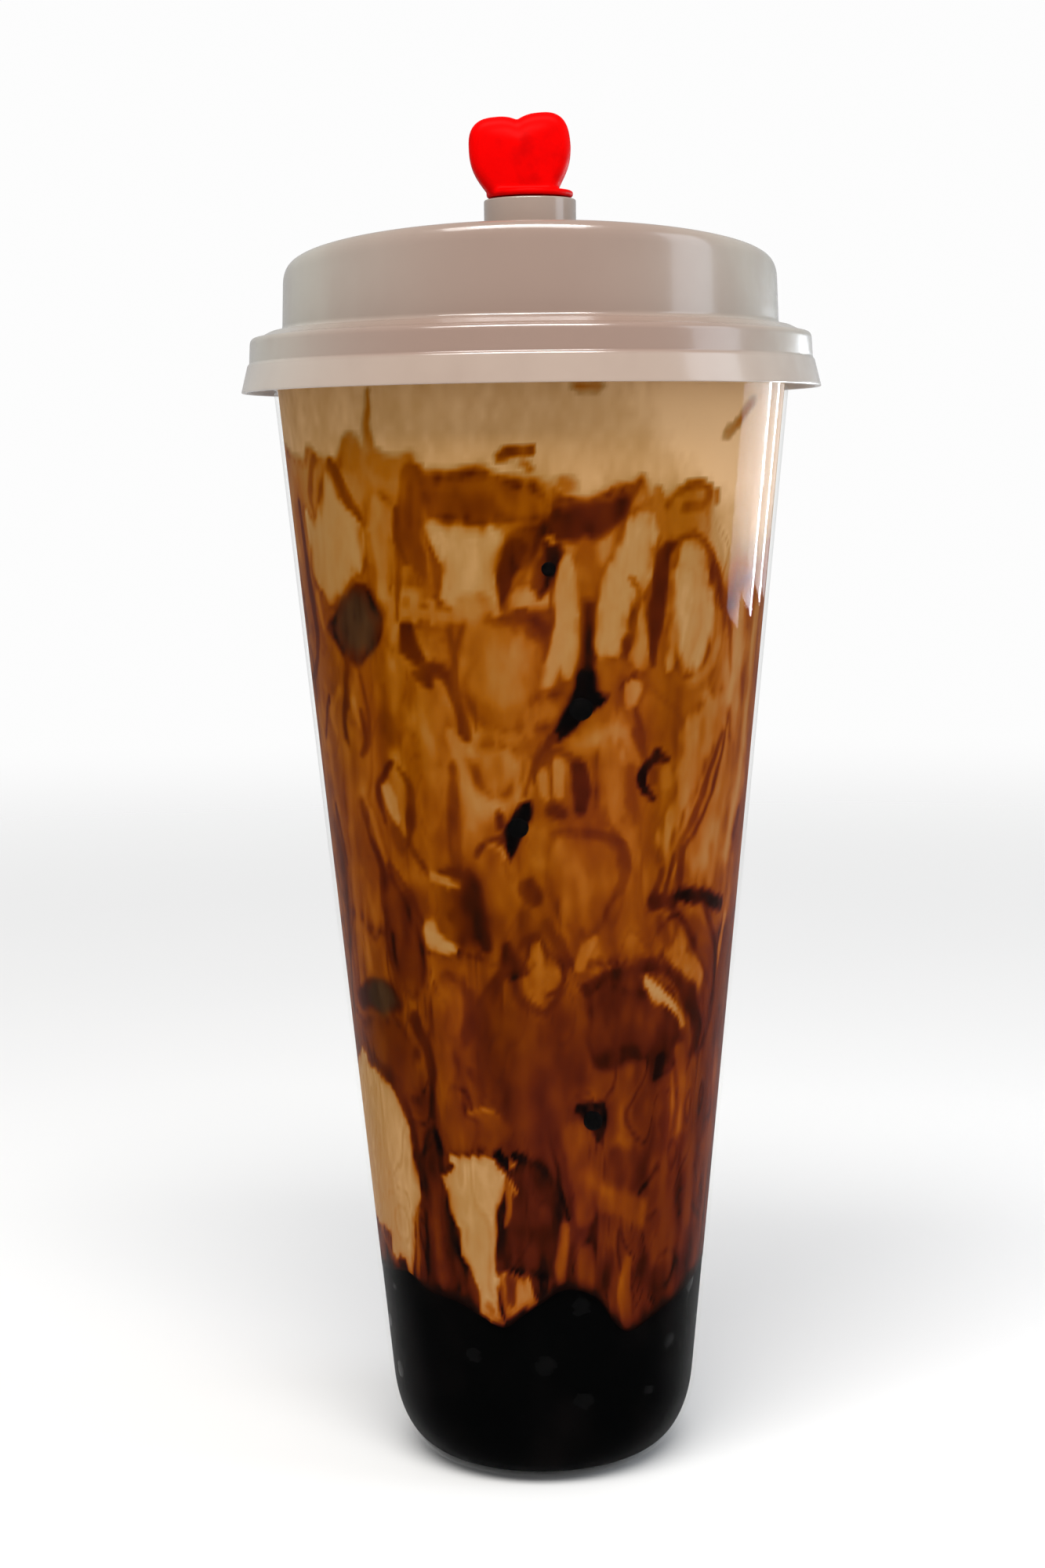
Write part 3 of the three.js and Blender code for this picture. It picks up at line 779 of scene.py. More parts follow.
# Angle and height on the drink's side that a pixel of the photograph shows
def onSkin(pixel):
    roll = math.radians(viewpoint["roll"])
    pitch = math.radians(viewpoint["pitch"])
    across = pixel[0] - viewpoint["wide"] / 2
    down = pixel[1] - viewpoint["high"] / 2
    right = (across * math.cos(roll) + down * math.sin(roll)) / viewpoint["focal"]
    up = (across * math.sin(roll) - down * math.cos(roll)) / viewpoint["focal"]
    ray = Vector((right, math.cos(pitch) + up * math.sin(pitch), up * math.cos(pitch) - math.sin(pitch)))
    eye = Vector((viewpoint["side"], -viewpoint["distance"], viewpoint["height"]))
    grow = cup["taper"]
    reach = skinRadius(eye.z)
    a = ray.x ** 2 + ray.y ** 2 - (grow * ray.z) ** 2
    b = eye.x * ray.x + eye.y * ray.y - reach * grow * ray.z
    c = eye.x ** 2 + eye.y ** 2 - reach ** 2
    spot = eye + ray * ((-b - math.sqrt(max(b * b - a * c, 0))) / a)
    return math.atan2(spot.x, -spot.y), spot.z


# Smooth random field from -1 to 1 on the unrolled skin, with cells of the given size
def field(angle, z, cellAround, cellUp, seed):
    around = max(3, round(2 * math.pi * drink["roll"] / cellAround))
    lattice = np.random.default_rng(seed).uniform(-1, 1, (int(220 / cellUp) + 3, around))
    a = angle / (2 * math.pi) * around
    b = z / cellUp
    column = np.floor(a).astype(int)
    row = np.floor(b).astype(int)
    s = a - column
    t = b - row
    s = s * s * (3 - 2 * s)
    t = t * t * (3 - 2 * t)
    left, right = column % around, (column + 1) % around
    low = lattice[row, left] * (1 - s) + lattice[row, right] * s
    high = lattice[row + 1, left] * (1 - s) + lattice[row + 1, right] * s
    return low * (1 - t) + high * t


# A smooth curve through points, open or closed
def curved(spots, closed, steps=4):
    spots = np.array(spots, dtype=float)
    if closed:
        ring = np.concatenate([spots[-1:], spots, spots[:2]])
    else:
        ring = np.concatenate([2 * spots[:1] - spots[1:2], spots, 2 * spots[-1:] - spots[-2:-1]])
    t = np.linspace(0, 1, steps, endpoint=False)[:, None]
    runs = []
    for a, b, c, d in zip(ring, ring[1:], ring[2:], ring[3:]):
        bend = (2 * a - 5 * b + 4 * c - d) * t ** 2 + (3 * b - a - 3 * c + d) * t ** 3
        runs.append(b + 0.5 * ((c - a) * t + bend))
    if not closed:
        runs.append(spots[-1:])
    return np.concatenate(runs)


# Distance to a line of round dabs, less its half width there
def streakDistance(u, v, spots, halves):
    nearest = np.full(u.shape, 1e9)
    for (a, b), (c, d), first, last in zip(spots, spots[1:], halves, halves[1:]):
        along = ((u - a) * (c - a) + (v - b) * (d - b)) / max((c - a) ** 2 + (d - b) ** 2, 1e-9)
        along = np.clip(along, 0, 1)
        gap = np.hypot(u - a - along * (c - a), v - b - along * (d - b))
        nearest = np.minimum(nearest, gap - first - along * (last - first))
    return nearest


# Distance to a filled outline, negative inside
def patchDistance(u, v, spots):
    ring = np.concatenate([spots, spots[:1]])
    gap = streakDistance(u, v, ring, np.zeros(len(ring)))
    inside = np.zeros(u.shape, dtype=bool)
    for (a, b), (c, d) in zip(ring, ring[1:]):
        if b != d:
            inside ^= ((b > v) != (d > v)) & (u < a + (v - b) / (d - b) * (c - a))
    return np.where(inside, -gap, gap)


# Angle on the front; the back, which the photograph hides, has the same streaks mirrored at the cup's outline
def folded(angle):
    turn = np.abs((angle + math.pi) % (2 * math.pi) - math.pi)
    edge = drink["outline"]
    return np.sign(np.sin(angle)) * np.where(turn < edge, turn, edge * (math.pi - turn) / (math.pi - edge))


# From 0 in front to 1 behind the cup's outline
def rearShare(angle):
    turn = np.abs((angle + math.pi) % (2 * math.pi) - math.pi)
    return np.clip(4 * (turn - drink["outline"]), 0, 1)


# How far the mirrored streaks sink on the right and rise on the left, so that the sides don't match
def rearSlip(angle):
    return drink["slip"] * rearShare(angle) * np.tanh(-2.5 * np.sin(2 * angle))


# The skin being painted: flat arrays of unrolled places and their tones
class Canvas:
    def __init__(self, angle, z):
        turn = (angle + math.pi) % (2 * math.pi) - math.pi
        wander = 0.5 * field(turn, z, 4.5, 7, 6) + 0.28 * field(turn, z, 1.8, 3.2, 7)
        rear = rearShare(turn)
        drift = 4 * rear * field(turn, z, 14, 26, 19)
        self.u = folded(turn) * drink["roll"] + (1 + 2 * rear) * wander + drift
        self.v = z + (0.6 + 1.4 * rear) * field(turn, z, 4, 6, 8) + rearSlip(turn)
        self.fray = 0.24 * field(turn, z, 1.0, 3.4, 9) + 0.12 * field(turn, z, 0.6, 1.4, 13)
        heights, tones = zip(*drink["base"])
        self.tone = np.interp(z + 3 * field(turn, z, 7, 30, 3), heights, tones)
        below = np.clip((160 - z) / 8, 0, 1)
        streaks = 0.06 * field(turn, z, 2.6, 24, 4) + 0.05 * field(turn, z, 1.2, 11, 5)
        self.tone += (0.02 + 0.98 * below) * streaks
        # syrup lines along the borders of slow currents
        current = field(turn + 0.05 * field(turn, z, 6, 9, 20), z, 8, 19, 21) + 0.5 * field(turn, z, 4, 9, 22)
        line = np.abs((current * 2.2) % 1 - 0.5)
        self.tone += below * (0.15 * np.exp(-(line / 0.07) ** 2) - 0.05 * np.exp(-((line - 0.2) / 0.09) ** 2))

    # Covers one stroke; spots and halves are in millimetres on the unrolled skin
    def lay(self, spots, halves, shade, soft, rim):
        closed = halves is None
        spots = curved(spots, closed)
        if not closed:
            halves = np.interp(np.linspace(0, 1, len(spots)), np.linspace(0, 1, len(halves)), halves)
        margin = soft + 2 + (0 if closed else halves.max())
        low, high = spots.min(axis=0) - margin, spots.max(axis=0) + margin
        near = np.nonzero((self.u > low[0]) & (self.u < high[0]) & (self.v > low[1]) & (self.v < high[1]))[0]
        if closed:
            distance = patchDistance(self.u[near], self.v[near], spots)
        else:
            distance = streakDistance(self.u[near], self.v[near], spots, halves)
        distance += self.fray[near]
        cover = np.clip(0.5 - distance / soft, 0, 1)
        cover = cover * cover * (3 - 2 * cover)
        old = self.tone[near]
        grain = 0.35 * (old - old.mean()) if closed else 0
        lined = rim * np.exp(-((distance - 0.2) / 0.5) ** 2)
        if closed and soft < 2:
            lined += (0.09 + 0.5 * self.fray[near]) * np.exp(-((distance + 0.3) / 0.8) ** 2)
        self.tone[near] = old + (shade + grain - old) * cover + lined


def paintSkin(angle, z):
    canvas = Canvas(angle.ravel(), z.ravel())
    roll = drink["roll"]
    scale = viewpoint["focal"] / (viewpoint["distance"] - roll)  # pixels for a millimetre
    for shade, half, pixels, *extra in strokes:
        spots = [(a * roll, b) for a, b in map(onSkin, pixels)]
        soft = (extra[0] if extra else drink["soft"]) / scale
        rim = extra[1] if len(extra) > 1 else 0
        halves = None if half == 0 else np.atleast_1d(half) / scale
        canvas.lay(spots, halves, shade, soft, rim)
    tone = canvas.tone.reshape(z.shape)
    tone = tone + 0.02 * field(angle, z, 1.4, 5, 10) + 0.015 * field(angle, z, 0.8, 1.6, 12)
    cloud = 0.085 * field(angle, z, 3.2, 6, 30) + 0.055 * field(angle, z, 1.5, 3.2, 31)
    tone = tone + cloud * np.clip((tone - 0.13) / 0.22, 0.06, 1)
    # near the bed the drink darkens, less so where cream hangs down to it
    lift = (z - bedEdge(angle) + 0.5 * field(angle, z, 2, 3, 16)) / drink["bedBlend"]
    dark = np.exp(-np.clip(lift, 0, None) ** 2) * np.clip(0.25 + 2 * (tone - 0.3), 0.25, 1)
    return np.clip(tone + (0.97 - tone) * dark, 0, 1)


# How red the syrup looks, more so to the right and low down
def skinWarmth(angle, z):
    warmth = 0.3 + 0.3 * np.sin(angle) + 0.35 * (110 - z) / 100
    return np.clip(warmth + 0.3 * field(angle, z, 7, 16, 15), 0, 1)


# Where a pearl shows grey through a film of milk: photograph pixel, half width and half height in millimetres
veiled = [((454, 798), 5.4, 6.2), ((486, 1272), 5.4, 3.4)]


def veiledPearls(angle, z):
    grey = np.zeros(z.shape)
    ragged = 0.16 * field(angle, z, 2, 3, 25)
    for pixel, wide, high in veiled:
        place, height = onSkin(pixel)
        across = (folded(angle) - place) * drink["roll"] / wide
        up = (z + rearSlip(angle) - height) / high
        gap = (np.abs(across) ** 1.6 + np.abs(up) ** 1.6) ** (1 / 1.6) + ragged
        grey = np.maximum(grey, np.clip((1.05 - gap) / 0.45, 0, 1))
    return grey


# Height of the dark bed's upper edge round the cup
def bedEdge(angle):
    front = sorted(map(tuple, curved([onSkin(pixel) for pixel in drink["bedLine"]], False)))
    angles, heights = zip(*front)
    ripple = field(angle, np.full_like(angle, drink["bedHeight"]), 9, 40, 14)
    return np.interp(folded(angle), angles, heights) + 1.8 * rearShare(angle) * ripple


def makeDrink():
    angle = np.arange(drink["columns"]) * 2 * math.pi / drink["columns"]
    low = bedEdge(angle)
    share = np.linspace(0, 1, drink["rows"])[:, None]
    z = low * (1 - share) + drink["level"] * share
    around = np.broadcast_to(angle, z.shape)
    side = onRing(skinRadius(z), around, z)
    # the side is closed by a bowl-shaped underside and by a surface that creeps up the wall
    core = np.array([0.9, 0.5, 0.02])[:, None]
    floorRings = onRing(skinRadius(low) * core[::-1], angle, drink["core"] + 0 * low)
    top = np.array([0.985, 0.95, 0.85, 0.5, 0.02])[:, None]
    sink = drink["meniscus"] * (1 - np.exp(-(1 - top) * 30))
    topRings = onRing(skinRadius(drink["level"]) * top, angle, drink["level"] - sink)
    points = np.concatenate([floorRings, side, topRings])
    mesh = meshFrom("milk_tea_streaked", points.reshape(-1, 3), ringFaces(len(points), drink["columns"]))
    looks = {
        "tone": (0.8, paintSkin(around, z), 0.13),
        "warmth": (0.5, skinWarmth(around, z), 0.3),
        "grey": (0, veiledPearls(around, z), 0),
    }
    for name, (under, skin, over) in looks.items():
        values = [np.full(floorRings.shape[:2], under), skin, np.full(topRings.shape[:2], over)]
        attribute = mesh.attributes.new(name, "FLOAT", "POINT")
        attribute.data.foreach_set("value", np.concatenate(values).astype(np.float32).ravel())
    mesh.polygons.foreach_set("use_smooth", [True] * len(mesh.polygons))
    return mesh


def streakedTea():
    finish = newFinish("streaked milk tea")
    tone = finish.node("Attribute", {"attribute_name": "tone"}, {}, out="Fac")
    warmth = finish.node("Attribute", {"attribute_name": "warmth"}, {}, out="Fac")
    swirl = finish.noise(3.2, (1, 1, 0.3), detail=4.0)
    fleck = finish.noise(0.8, (1, 1, 0.4), detail=3.0)
    grain = 0.06 * (swirl - 0.5) + 0.045 * (fleck - 0.5)
    mixed = finish.clamp(tone + grain * finish.smooth(tone, 0.02, 0.2))
    ramps = [[(place, tint(*shade)) for place, shade in drink[hue]] for hue in ("olive", "red")]
    olive, red = (finish.node("ValToRGB", {"stops": stops}, {"Fac": mixed}) for stops in ramps)
    rough = 0.42 + 0.12 * swirl
    grey = finish.node("Attribute", {"attribute_name": "grey"}, {}, out="Fac")
    pearl = finish.blend(tint(34, 20, 9), tint(66, 45, 25), finish.smooth(swirl, 0.3, 0.7))
    colour = finish.blend(finish.blend(olive, red, warmth), pearl, 0.85 * grey)
    return finish.done(finish.plastic(Base_Color=colour, Roughness=rough, Specular_IOR_Level=0.0))


# Dark bed: pearls in syrup
bed = {
    "pearl": 4.55,
    "spread": 0.06,
    "spacing": 1.03,
    "gap": 0.3,
    "press": 0.9,  # how far the outer pearls are pushed out against the wall
    "proud": 0.13,  # how far flattened pearls reach into the wall
    "sunkProud": 0.28,  # and those that show through the drink
    "syrupInto": 0.1,
    "syrupRise": 1.2,
    "around": 26,
    "upwards": 16,
    "columns": 256,
    "rows": 40,
}

# Single pearls against the wall in the drink: photograph pixel, size, depth of the flat face
sunk = [
    ((661, 1054), 2.6, 2.1), ((740, 905), 2.9, 2.3), ((756, 1428), 2.8, 2.3), ((700, 724), 2.3, 1.9),
]


class RingRandom:  # repeatable numbers from 0 to 1, as the solids use
    def __init__(self, seed):
        self.state = seed

    def next(self):
        self.state = (self.state * 1664525 + 1013904223) % 4294967296
        return self.state / 4294967296


# A closed ball of rings as points and faces
def ball(around, upwards):
    rise = np.linspace(-math.pi / 2, math.pi / 2, upwards + 1)
    angle = np.arange(around) * 2 * math.pi / around
    points = onRing(np.cos(rise)[:, None], angle[None, :], np.sin(rise)[:, None])
    return points.reshape(-1, 3), ringFaces(upwards + 1, around)


# Pearls as one mesh, each a little lumpy and flattened where it meets the wall
def pearlMesh(name, places, proud):
    unit, faces = ball(bed["around"], bed["upwards"])
    rng = np.random.default_rng(17)
    points = []
    corners = []
    for number, (centre, size) in enumerate(places):
        turn = np.array(Euler(rng.uniform(0, 2 * math.pi, 3)).to_matrix())
        lump = 1 + 0.035 * np.sin(unit @ rng.uniform(-3, 3, 3) + rng.uniform(0, 6))
        stretch = 1 + rng.uniform(-0.05, 0.05, 3)
        spot = (unit * lump[:, None] * stretch * size) @ turn.T + np.array(centre)
        limit = coneRadius(spot[:, 2]) - cup["wall"] + proud
        distance = np.hypot(spot[:, 0], spot[:, 1])
        spot[:, :2] *= np.minimum(1, limit / np.maximum(distance, 1e-6))[:, None]
        corners.append(faces + number * len(unit))
        points.append(spot)
    return cleanMesh(meshFrom(name, np.concatenate(points), np.concatenate(corners)), crease=80)


def heapPlaces():
    reach = cup["wall"] + bed["gap"] + bed["pearl"] * (1 + bed["spread"])
    low = cup["floor"] + bed["gap"] + bed["pearl"] * (1 + bed["spread"])
    rings = [  # radius, height, lift
        (0, low, 0), (9.4, low, 0), (16.6, low + 3.0, 0),
        (coneRadius(15.5) - reach, 15.5, 0.5), (coneRadius(23.2) - reach, 23.2, 0.7),
        (coneRadius(31.0) - reach, 31.0, 1.6), (12.6, 31.2, 1.4), (3.2, 31.6, 0.8),
    ]
    random = RingRandom(20)
    places = []
    for level, (radius, height, lift) in enumerate(rings):
        count = max(1, int(2 * math.pi * radius / (2 * bed["pearl"] * bed["spacing"])))
        for i in range(count):
            angle = 2 * math.pi * (i + (level % 2) / 2) / count
            z = height + lift * (2 * random.next() - 1)
            out = radius + cup["taper"] * min(0, z - height)
            size = bed["pearl"] * (1 + bed["spread"] * (2 * random.next() - 1))
            for _ in range(3):
                random.next()
            out += bed["press"] * (3 <= level <= 5)
            places.append(((out * math.sin(angle), -out * math.cos(angle), z), size))
    return places


def sunkPlaces():
    places = []
    for pixel, size, depth in sunk:
        angle, z = onSkin(pixel)
        for spot, height in ((angle, z), (math.pi - angle, z - float(rearSlip(math.pi - angle)))):
            out = skinRadius(height) - depth
            places.append(((out * math.sin(spot), -out * math.cos(spot), height), size))
    return places


def makeSyrup():
    angle = np.arange(bed["columns"]) * 2 * math.pi / bed["columns"]
    inset = cup["wall"] - bed["syrupInto"]
    foot = np.array(footPath(inset, cup["floor"] - bed["syrupInto"], cup["cornerRise"])[:-1])
    footRings = onRing(foot[:, :1], angle[None, :], foot[:, 1:])
    share = np.linspace(0, 1, bed["rows"])[1:, None]
    top = bedEdge(angle) + bed["syrupRise"]
    z = cup["cornerRise"] * (1 - share) + top * share
    wallRings = onRing(coneRadius(z) - inset, angle, z)
    lid = np.array([0.9, 0.5, 0.0])[:, None]
    topRings = onRing((coneRadius(top) - inset) * lid, angle, top * lid + drink["core"] * (1 - lid))
    points = np.concatenate([footRings, wallRings, topRings])
    return cleanMesh(
        meshFrom("syrup_bed", points.reshape(-1, 3), ringFaces(len(points), bed["columns"])), crease=60
    )


def wetPearls():
    finish = newFinish("wet black pearls")
    cloud = finish.noise(2.4, detail=3.0)
    colour = finish.blend(tint(2, 2, 2), tint(10, 8, 8), finish.smooth(cloud, 0.45, 0.8))
    rough = 0.3 + 0.2 * cloud
    bump = finish.bump(finish.noise(1.6, detail=2.0), 0.2, 0.15)
    shader = finish.plastic(Base_Color=colour, Roughness=rough, Specular_IOR_Level=0.02, Normal=bump)
    return finish.done(shader)


def darkSyrup():
    finish = newFinish("dark brown sugar syrup")
    cloud = finish.noise(7, (1, 1, 0.6), detail=3.0)
    colour = finish.blend(tint(2, 2, 2), tint(9, 7, 7), finish.smooth(cloud, 0.45, 0.8))
    rough = 0.35 + 0.2 * cloud
    return finish.done(finish.plastic(Base_Color=colour, Roughness=rough, Specular_IOR_Level=0.0))


# Lid with a slanted top and a spout collar
lid = {
    "wall": 0.9,
    "skirtBottom": 179.0,
    "skirtRadius": 47.5,
    "bandBottom": 183.4,
    "bandRadius": 46.1,
    "shoulderTop": 188.9,
    "shoulderDrop": 1.4,
    "drumRadius": 40.6,
    "drumTopRadius": 40.2,
    "rimTop": 199.0,
    "rimRound": 3.0,
    "deckSink": 1.1,
    "slant": 4.4,
    "spoutOffset": 29.5,
    "spoutTop": 206.9,
    "spoutRadius": 7.0,
    "spoutFlare": 1.6,
    "bore": 5.2,
    "sides": 224,
    "spoutSides": 72,
}


def lidProfile():
    wall = lid["wall"]
    deckTop = lid["rimTop"] - lid["deckSink"]
    deckEdge = lid["drumTopRadius"] - 1.5 * lid["rimRound"] - lid["deckSink"]
    bandTop = lid["shoulderTop"] - lid["shoulderDrop"]
    band = lid["bandRadius"]
    drum = lid["drumRadius"]
    crest = lid["drumTopRadius"]
    corners = [
        (0, deckTop - wall),
        (crest - wall, deckTop - wall, 1.2),
        (drum - wall, lid["shoulderTop"] - wall / 2, 0.5),
        (band - wall, bandTop - wall / 2, 0.8),
        (band - wall, lid["bandBottom"], 0.4),
        (lid["skirtRadius"] - wall, lid["skirtBottom"], 0.15),
        (lid["skirtRadius"], lid["skirtBottom"], 0.25),
        (lid["skirtRadius"] - 0.15, lid["skirtBottom"] + 0.6, 0.2),
        (band + wall / 3, lid["bandBottom"], 0.25),
        (band, lid["bandBottom"] + wall / 3, 0.2),
        (band - wall / 4, bandTop + wall / 4, 1.0),
        (band - 2 * wall, bandTop + wall / 2, 0.5),
        (drum + 2 * wall, lid["shoulderTop"], 0.5),
        (drum, lid["shoulderTop"], 0.9),
        (crest, lid["rimTop"], lid["rimRound"]),
        (crest - 1.4 * lid["rimRound"], lid["rimTop"], 0.8),
        (deckEdge, deckTop, 0.8),
        (0, deckTop),
    ]
    return rounded(corners, 9)


def slantAt(y):
    return -lid["slant"] * y / lid["drumTopRadius"]


# Raises or lowers points by the slant, from none at one height to all of it at another
def slanted(mesh, none, full):
    for vertex in mesh.vertices:
        share = min(max((vertex.co.z / mm - none) / (full - none), 0), 1)
        vertex.co.z += share * slantAt(vertex.co.y)
    return mesh


def loose(mesh):
    made = bpy.data.objects.new(mesh.name, mesh)
    scene.collection.objects.link(made)
    return made


# Joins or cuts meshes and returns the result as one mesh
def joined(mesh, steps):
    base = loose(mesh)
    others = []
    for operation, other in steps:
        tool = loose(other)
        others.append(tool)
        change = base.modifiers.new(operation, "BOOLEAN")
        change.operation = operation
        change.solver = "EXACT"
        change.object = tool
    bpy.context.view_layer.update()
    result = bpy.data.meshes.new_from_object(base.evaluated_get(bpy.context.evaluated_depsgraph_get()))
    for made in [base, *others]:
        bpy.data.objects.remove(made)
    return result


def makeLid():
    wall = lid["wall"]
    shell = turned("sip_lid", lidProfile(), lid["sides"])
    slanted(shell, lid["shoulderTop"] + wall, lid["rimTop"] - lid["deckSink"] - 2 * wall)
    foot = lid["rimTop"] - lid["deckSink"] - wall / 2 + slantAt(-lid["spoutOffset"])
    radius = lid["spoutRadius"]
    flare = lid["spoutFlare"]
    path = rounded([
        (0, foot), (radius + flare, foot), (radius, foot + wall, flare),
        (radius, lid["spoutTop"], 0.35), (radius - 0.9, lid["spoutTop"], 0.2), (0, lid["spoutTop"]),
    ], 8)
    collar = turned("spout_collar", path, lid["spoutSides"])
    for vertex in collar.vertices:
        x, y, z = vertex.co / mm
        share = (lid["spoutTop"] - z) / (lid["spoutTop"] - foot)
        vertex.co = Vector((x, y - lid["spoutOffset"], z + share * slantAt(y))) * mm
    boreLine = [(0, 150), (lid["bore"], 150), (lid["bore"], 250), (0, 250)]
    bore = turned("spout_bore", boreLine, lid["spoutSides"])
    bore.transform(Matrix.Translation((0, -lid["spoutOffset"] * mm, 0)))
    mesh = joined(shell, [("UNION", collar), ("DIFFERENCE", bore)])
    mesh.name = "sip_lid"
    return cleanMesh(mesh, crease=30)


def lidPlastic():
    finish = newFinish("translucent white lid")
    spot = finish.node("TexCoord", {}, {}, out="Object")
    depth = finish.node("SeparateXYZ", {}, {0: spot}, out="Y")
    height = finish.node("SeparateXYZ", {}, {0: spot}, out="Z")
    cloud = finish.noise(16, (1, 1, 0.7), detail=3.0)
    grain = finish.noise(1.1, detail=3.0)
    # Painted light and shade: the lid is darker on its front faces and lighter at its sides, and the skirt
    # below the band, which flares up towards the light, is painted lighter than the wall
    front = finish.smooth(0.0 - depth, 0.014, 0.046)
    skirt = finish.smooth(height, (lid["bandBottom"] + 0.4) * mm, (lid["bandBottom"] - 0.4) * mm)
    wallPaintedShade = finish.blend(tint(176, 171, 160), tint(146, 121, 108), front)
    skirtPaintedLightAndShade = finish.blend(tint(186, 178, 168), tint(168, 148, 134), front)
    # shade is this painted light and shade, wall above the band and skirt below it, before the random cloudy
    # patches
    shade = finish.blend(wallPaintedShade, skirtPaintedLightAndShade, skirt)
    colour = finish.blend(shade, tint(140, 118, 106), 0.3 * finish.smooth(cloud, 0.4, 0.75))
    rough = 0.17 + 0.08 * finish.smooth(grain, 0.4, 0.8)
    bump = finish.bump(finish.noise(9, detail=1.0) + 0.06 * grain, 0.1, 0.25)
    return finish.done(finish.plastic(
        Base_Color=colour, Roughness=rough, Specular_IOR_Level=0.5, Normal=bump, Coat_Weight=0.2,
        Coat_Roughness=0.06,
    ))


# Heart stopper
stopper = {
    "fit": 0.3,
    "pin": 8.5,
    "disc": 6.6,
    "discThick": 1.0,
    "wide": 15.5,
    "high": 11.2,
    "notch": 0.9,
    "foot": 10.8,
    "deep": 8.0,
    "round": 1.9,
    "lean": 5.0,
    "shift": 0.9,
    "steps": 14,
    "voxel": 0.26,
}


def heartLine():
    half = stopper["wide"] / 2 - stopper["round"]
    foot = stopper["foot"] / 2 - stopper["round"]
    top = stopper["high"] - stopper["round"]
    widest = 0.66 * top
    notch = top - stopper["notch"]
    steps = stopper["steps"]
    right = np.concatenate([
        bezier((foot, 0), (foot, widest / 4), (half, widest / 2), (half, widest), steps),
        bezier((half, widest), (half, top), (0.9 * half, top), (half / 2, top), steps)[1:],
        bezier((half / 2, top), (half / 5, top), (half / 10, notch), (0, notch), steps)[1:],
    ])
    left = right[-2::-1] * (-1, 1)
    return np.concatenate([right, left])


# The heart as rings from its back face to its front face, with a full round edge
def heartMesh():
    line = heartLine()
    ahead = np.roll(line, -1, axis=0) - np.roll(line, 1, axis=0)
    outwards = np.stack([ahead[:, 1], -ahead[:, 0]], axis=1)
    outwards /= np.linalg.norm(outwards, axis=1)[:, None]
    flat = stopper["deep"] / 2 - stopper["round"]
    middle = line.mean(axis=0)
    rings = []
    for share in (0.0, 0.35, 0.7):
        puff = 0.55 * (1 - share ** 2)
        rings.append((middle + (line - middle) * share, -stopper["deep"] / 2 - puff))
    for bend in np.linspace(-math.pi / 2, math.pi / 2, 13):
        reach = stopper["round"] * math.cos(bend)
        rings.append((line + outwards * reach, math.copysign(flat, bend) + stopper["round"] * math.sin(bend)))
    for share in (0.7, 0.35, 0.0):
        puff = 0.55 * (1 - share ** 2)
        rings.append((middle + (line - middle) * share, stopper["deep"] / 2 + puff))
    points = [[(x, y, z) for x, z in ring] for ring, y in rings]
    points = np.array(points).reshape(-1, 3)
    turn = np.array(Matrix.Rotation(math.radians(-stopper["lean"]), 3, "Y"))
    points = points @ turn.T + np.array((-stopper["shift"], 0, stopper["discThick"]))
    return cleanMesh(meshFrom("heart", points, ringFaces(len(rings), len(line))))


def makeStopper():
    pin = lid["bore"] - stopper["fit"]
    thick = stopper["discThick"]
    path = rounded([
        (0, -stopper["pin"]), (pin, -stopper["pin"], 0.7), (pin, 0, 0.1), (stopper["disc"], 0, 0.3),
        (stopper["disc"], thick, 0.4), (0, thick),
    ])
    plug = turned("plug", path, 72)
    below = turned("below", [(0, -20), (30, -20), (30, thick / 2), (0, thick / 2)], 16)
    heart = joined(heartMesh(), [("DIFFERENCE", below)])
    mesh = joined(plug, [("UNION", heart)])
    piece = loose(mesh)
    remesh = piece.modifiers.new("even", "REMESH")
    remesh.mode = "VOXEL"
    remesh.voxel_size = stopper["voxel"] * mm
    soften = piece.modifiers.new("soften", "SMOOTH")
    soften.factor = 0.5
    soften.iterations = 6
    bpy.context.view_layer.update()
    smooth = bpy.data.meshes.new_from_object(piece.evaluated_get(bpy.context.evaluated_depsgraph_get()))
    bpy.data.objects.remove(piece)
    smooth.name = "heart_stopper"
    seat = (lid["spoutTop"] + stopper["fit"]) * mm
    smooth.transform(Matrix.Translation((0, -lid["spoutOffset"] * mm, seat)))
    return cleanMesh(smooth, crease=80)


def redSatin():
    finish = newFinish("red satin plastic")
    cloud = finish.noise(4, detail=3.0)
    colour = finish.blend(tint(224, 0, 0), tint(198, 0, 1), finish.smooth(cloud, 0.45, 0.8))
    rough = 0.42 + 0.12 * cloud
    bump = finish.bump(finish.noise(0.7, detail=2.0), 0.1, 0.08)
    shader = finish.plastic(Base_Color=colour, Roughness=rough, Specular_IOR_Level=0.02, Normal=bump)
    return finish.done(shader)


addPiece("cup_shell", makeCup(), [clearOutside(), clearInside()], ["cup"])
addPiece("milk_tea_streaked", makeDrink(), [streakedTea()], ["milk_tea"])
pearlLook = wetPearls()
addPiece("pearl_heap", pearlMesh("pearl_heap", heapPlaces(), bed["proud"]), [pearlLook], ["pearls"])
addPiece("syrup_bed", makeSyrup(), [darkSyrup()])
addPiece("sunk_pearls", pearlMesh("sunk_pearls", sunkPlaces(), bed["sunkProud"]), [pearlLook])
addPiece("sip_lid", makeLid(), [lidPlastic()], ["lid"])
addPiece("heart_stopper", makeStopper(), [redSatin()], ["stopper"])

# Studio: a pale floor that fades into white, soft light from above and window panels at the side
studio = {
    "floor": 1.3,  # metres
    "fade": (0.22, 1.15),
    "sky": 0.5,
    "white": (0.98, 0.98, 0.98, 1),
    "overhead": 17.0,  # watts
    "side": 2.2,
    "edge": 4.5,  # lights the rounded edges of the lid alone
    "daylight": (0.84, 0.92, 1),
    "paneDistance": 0.32,
}

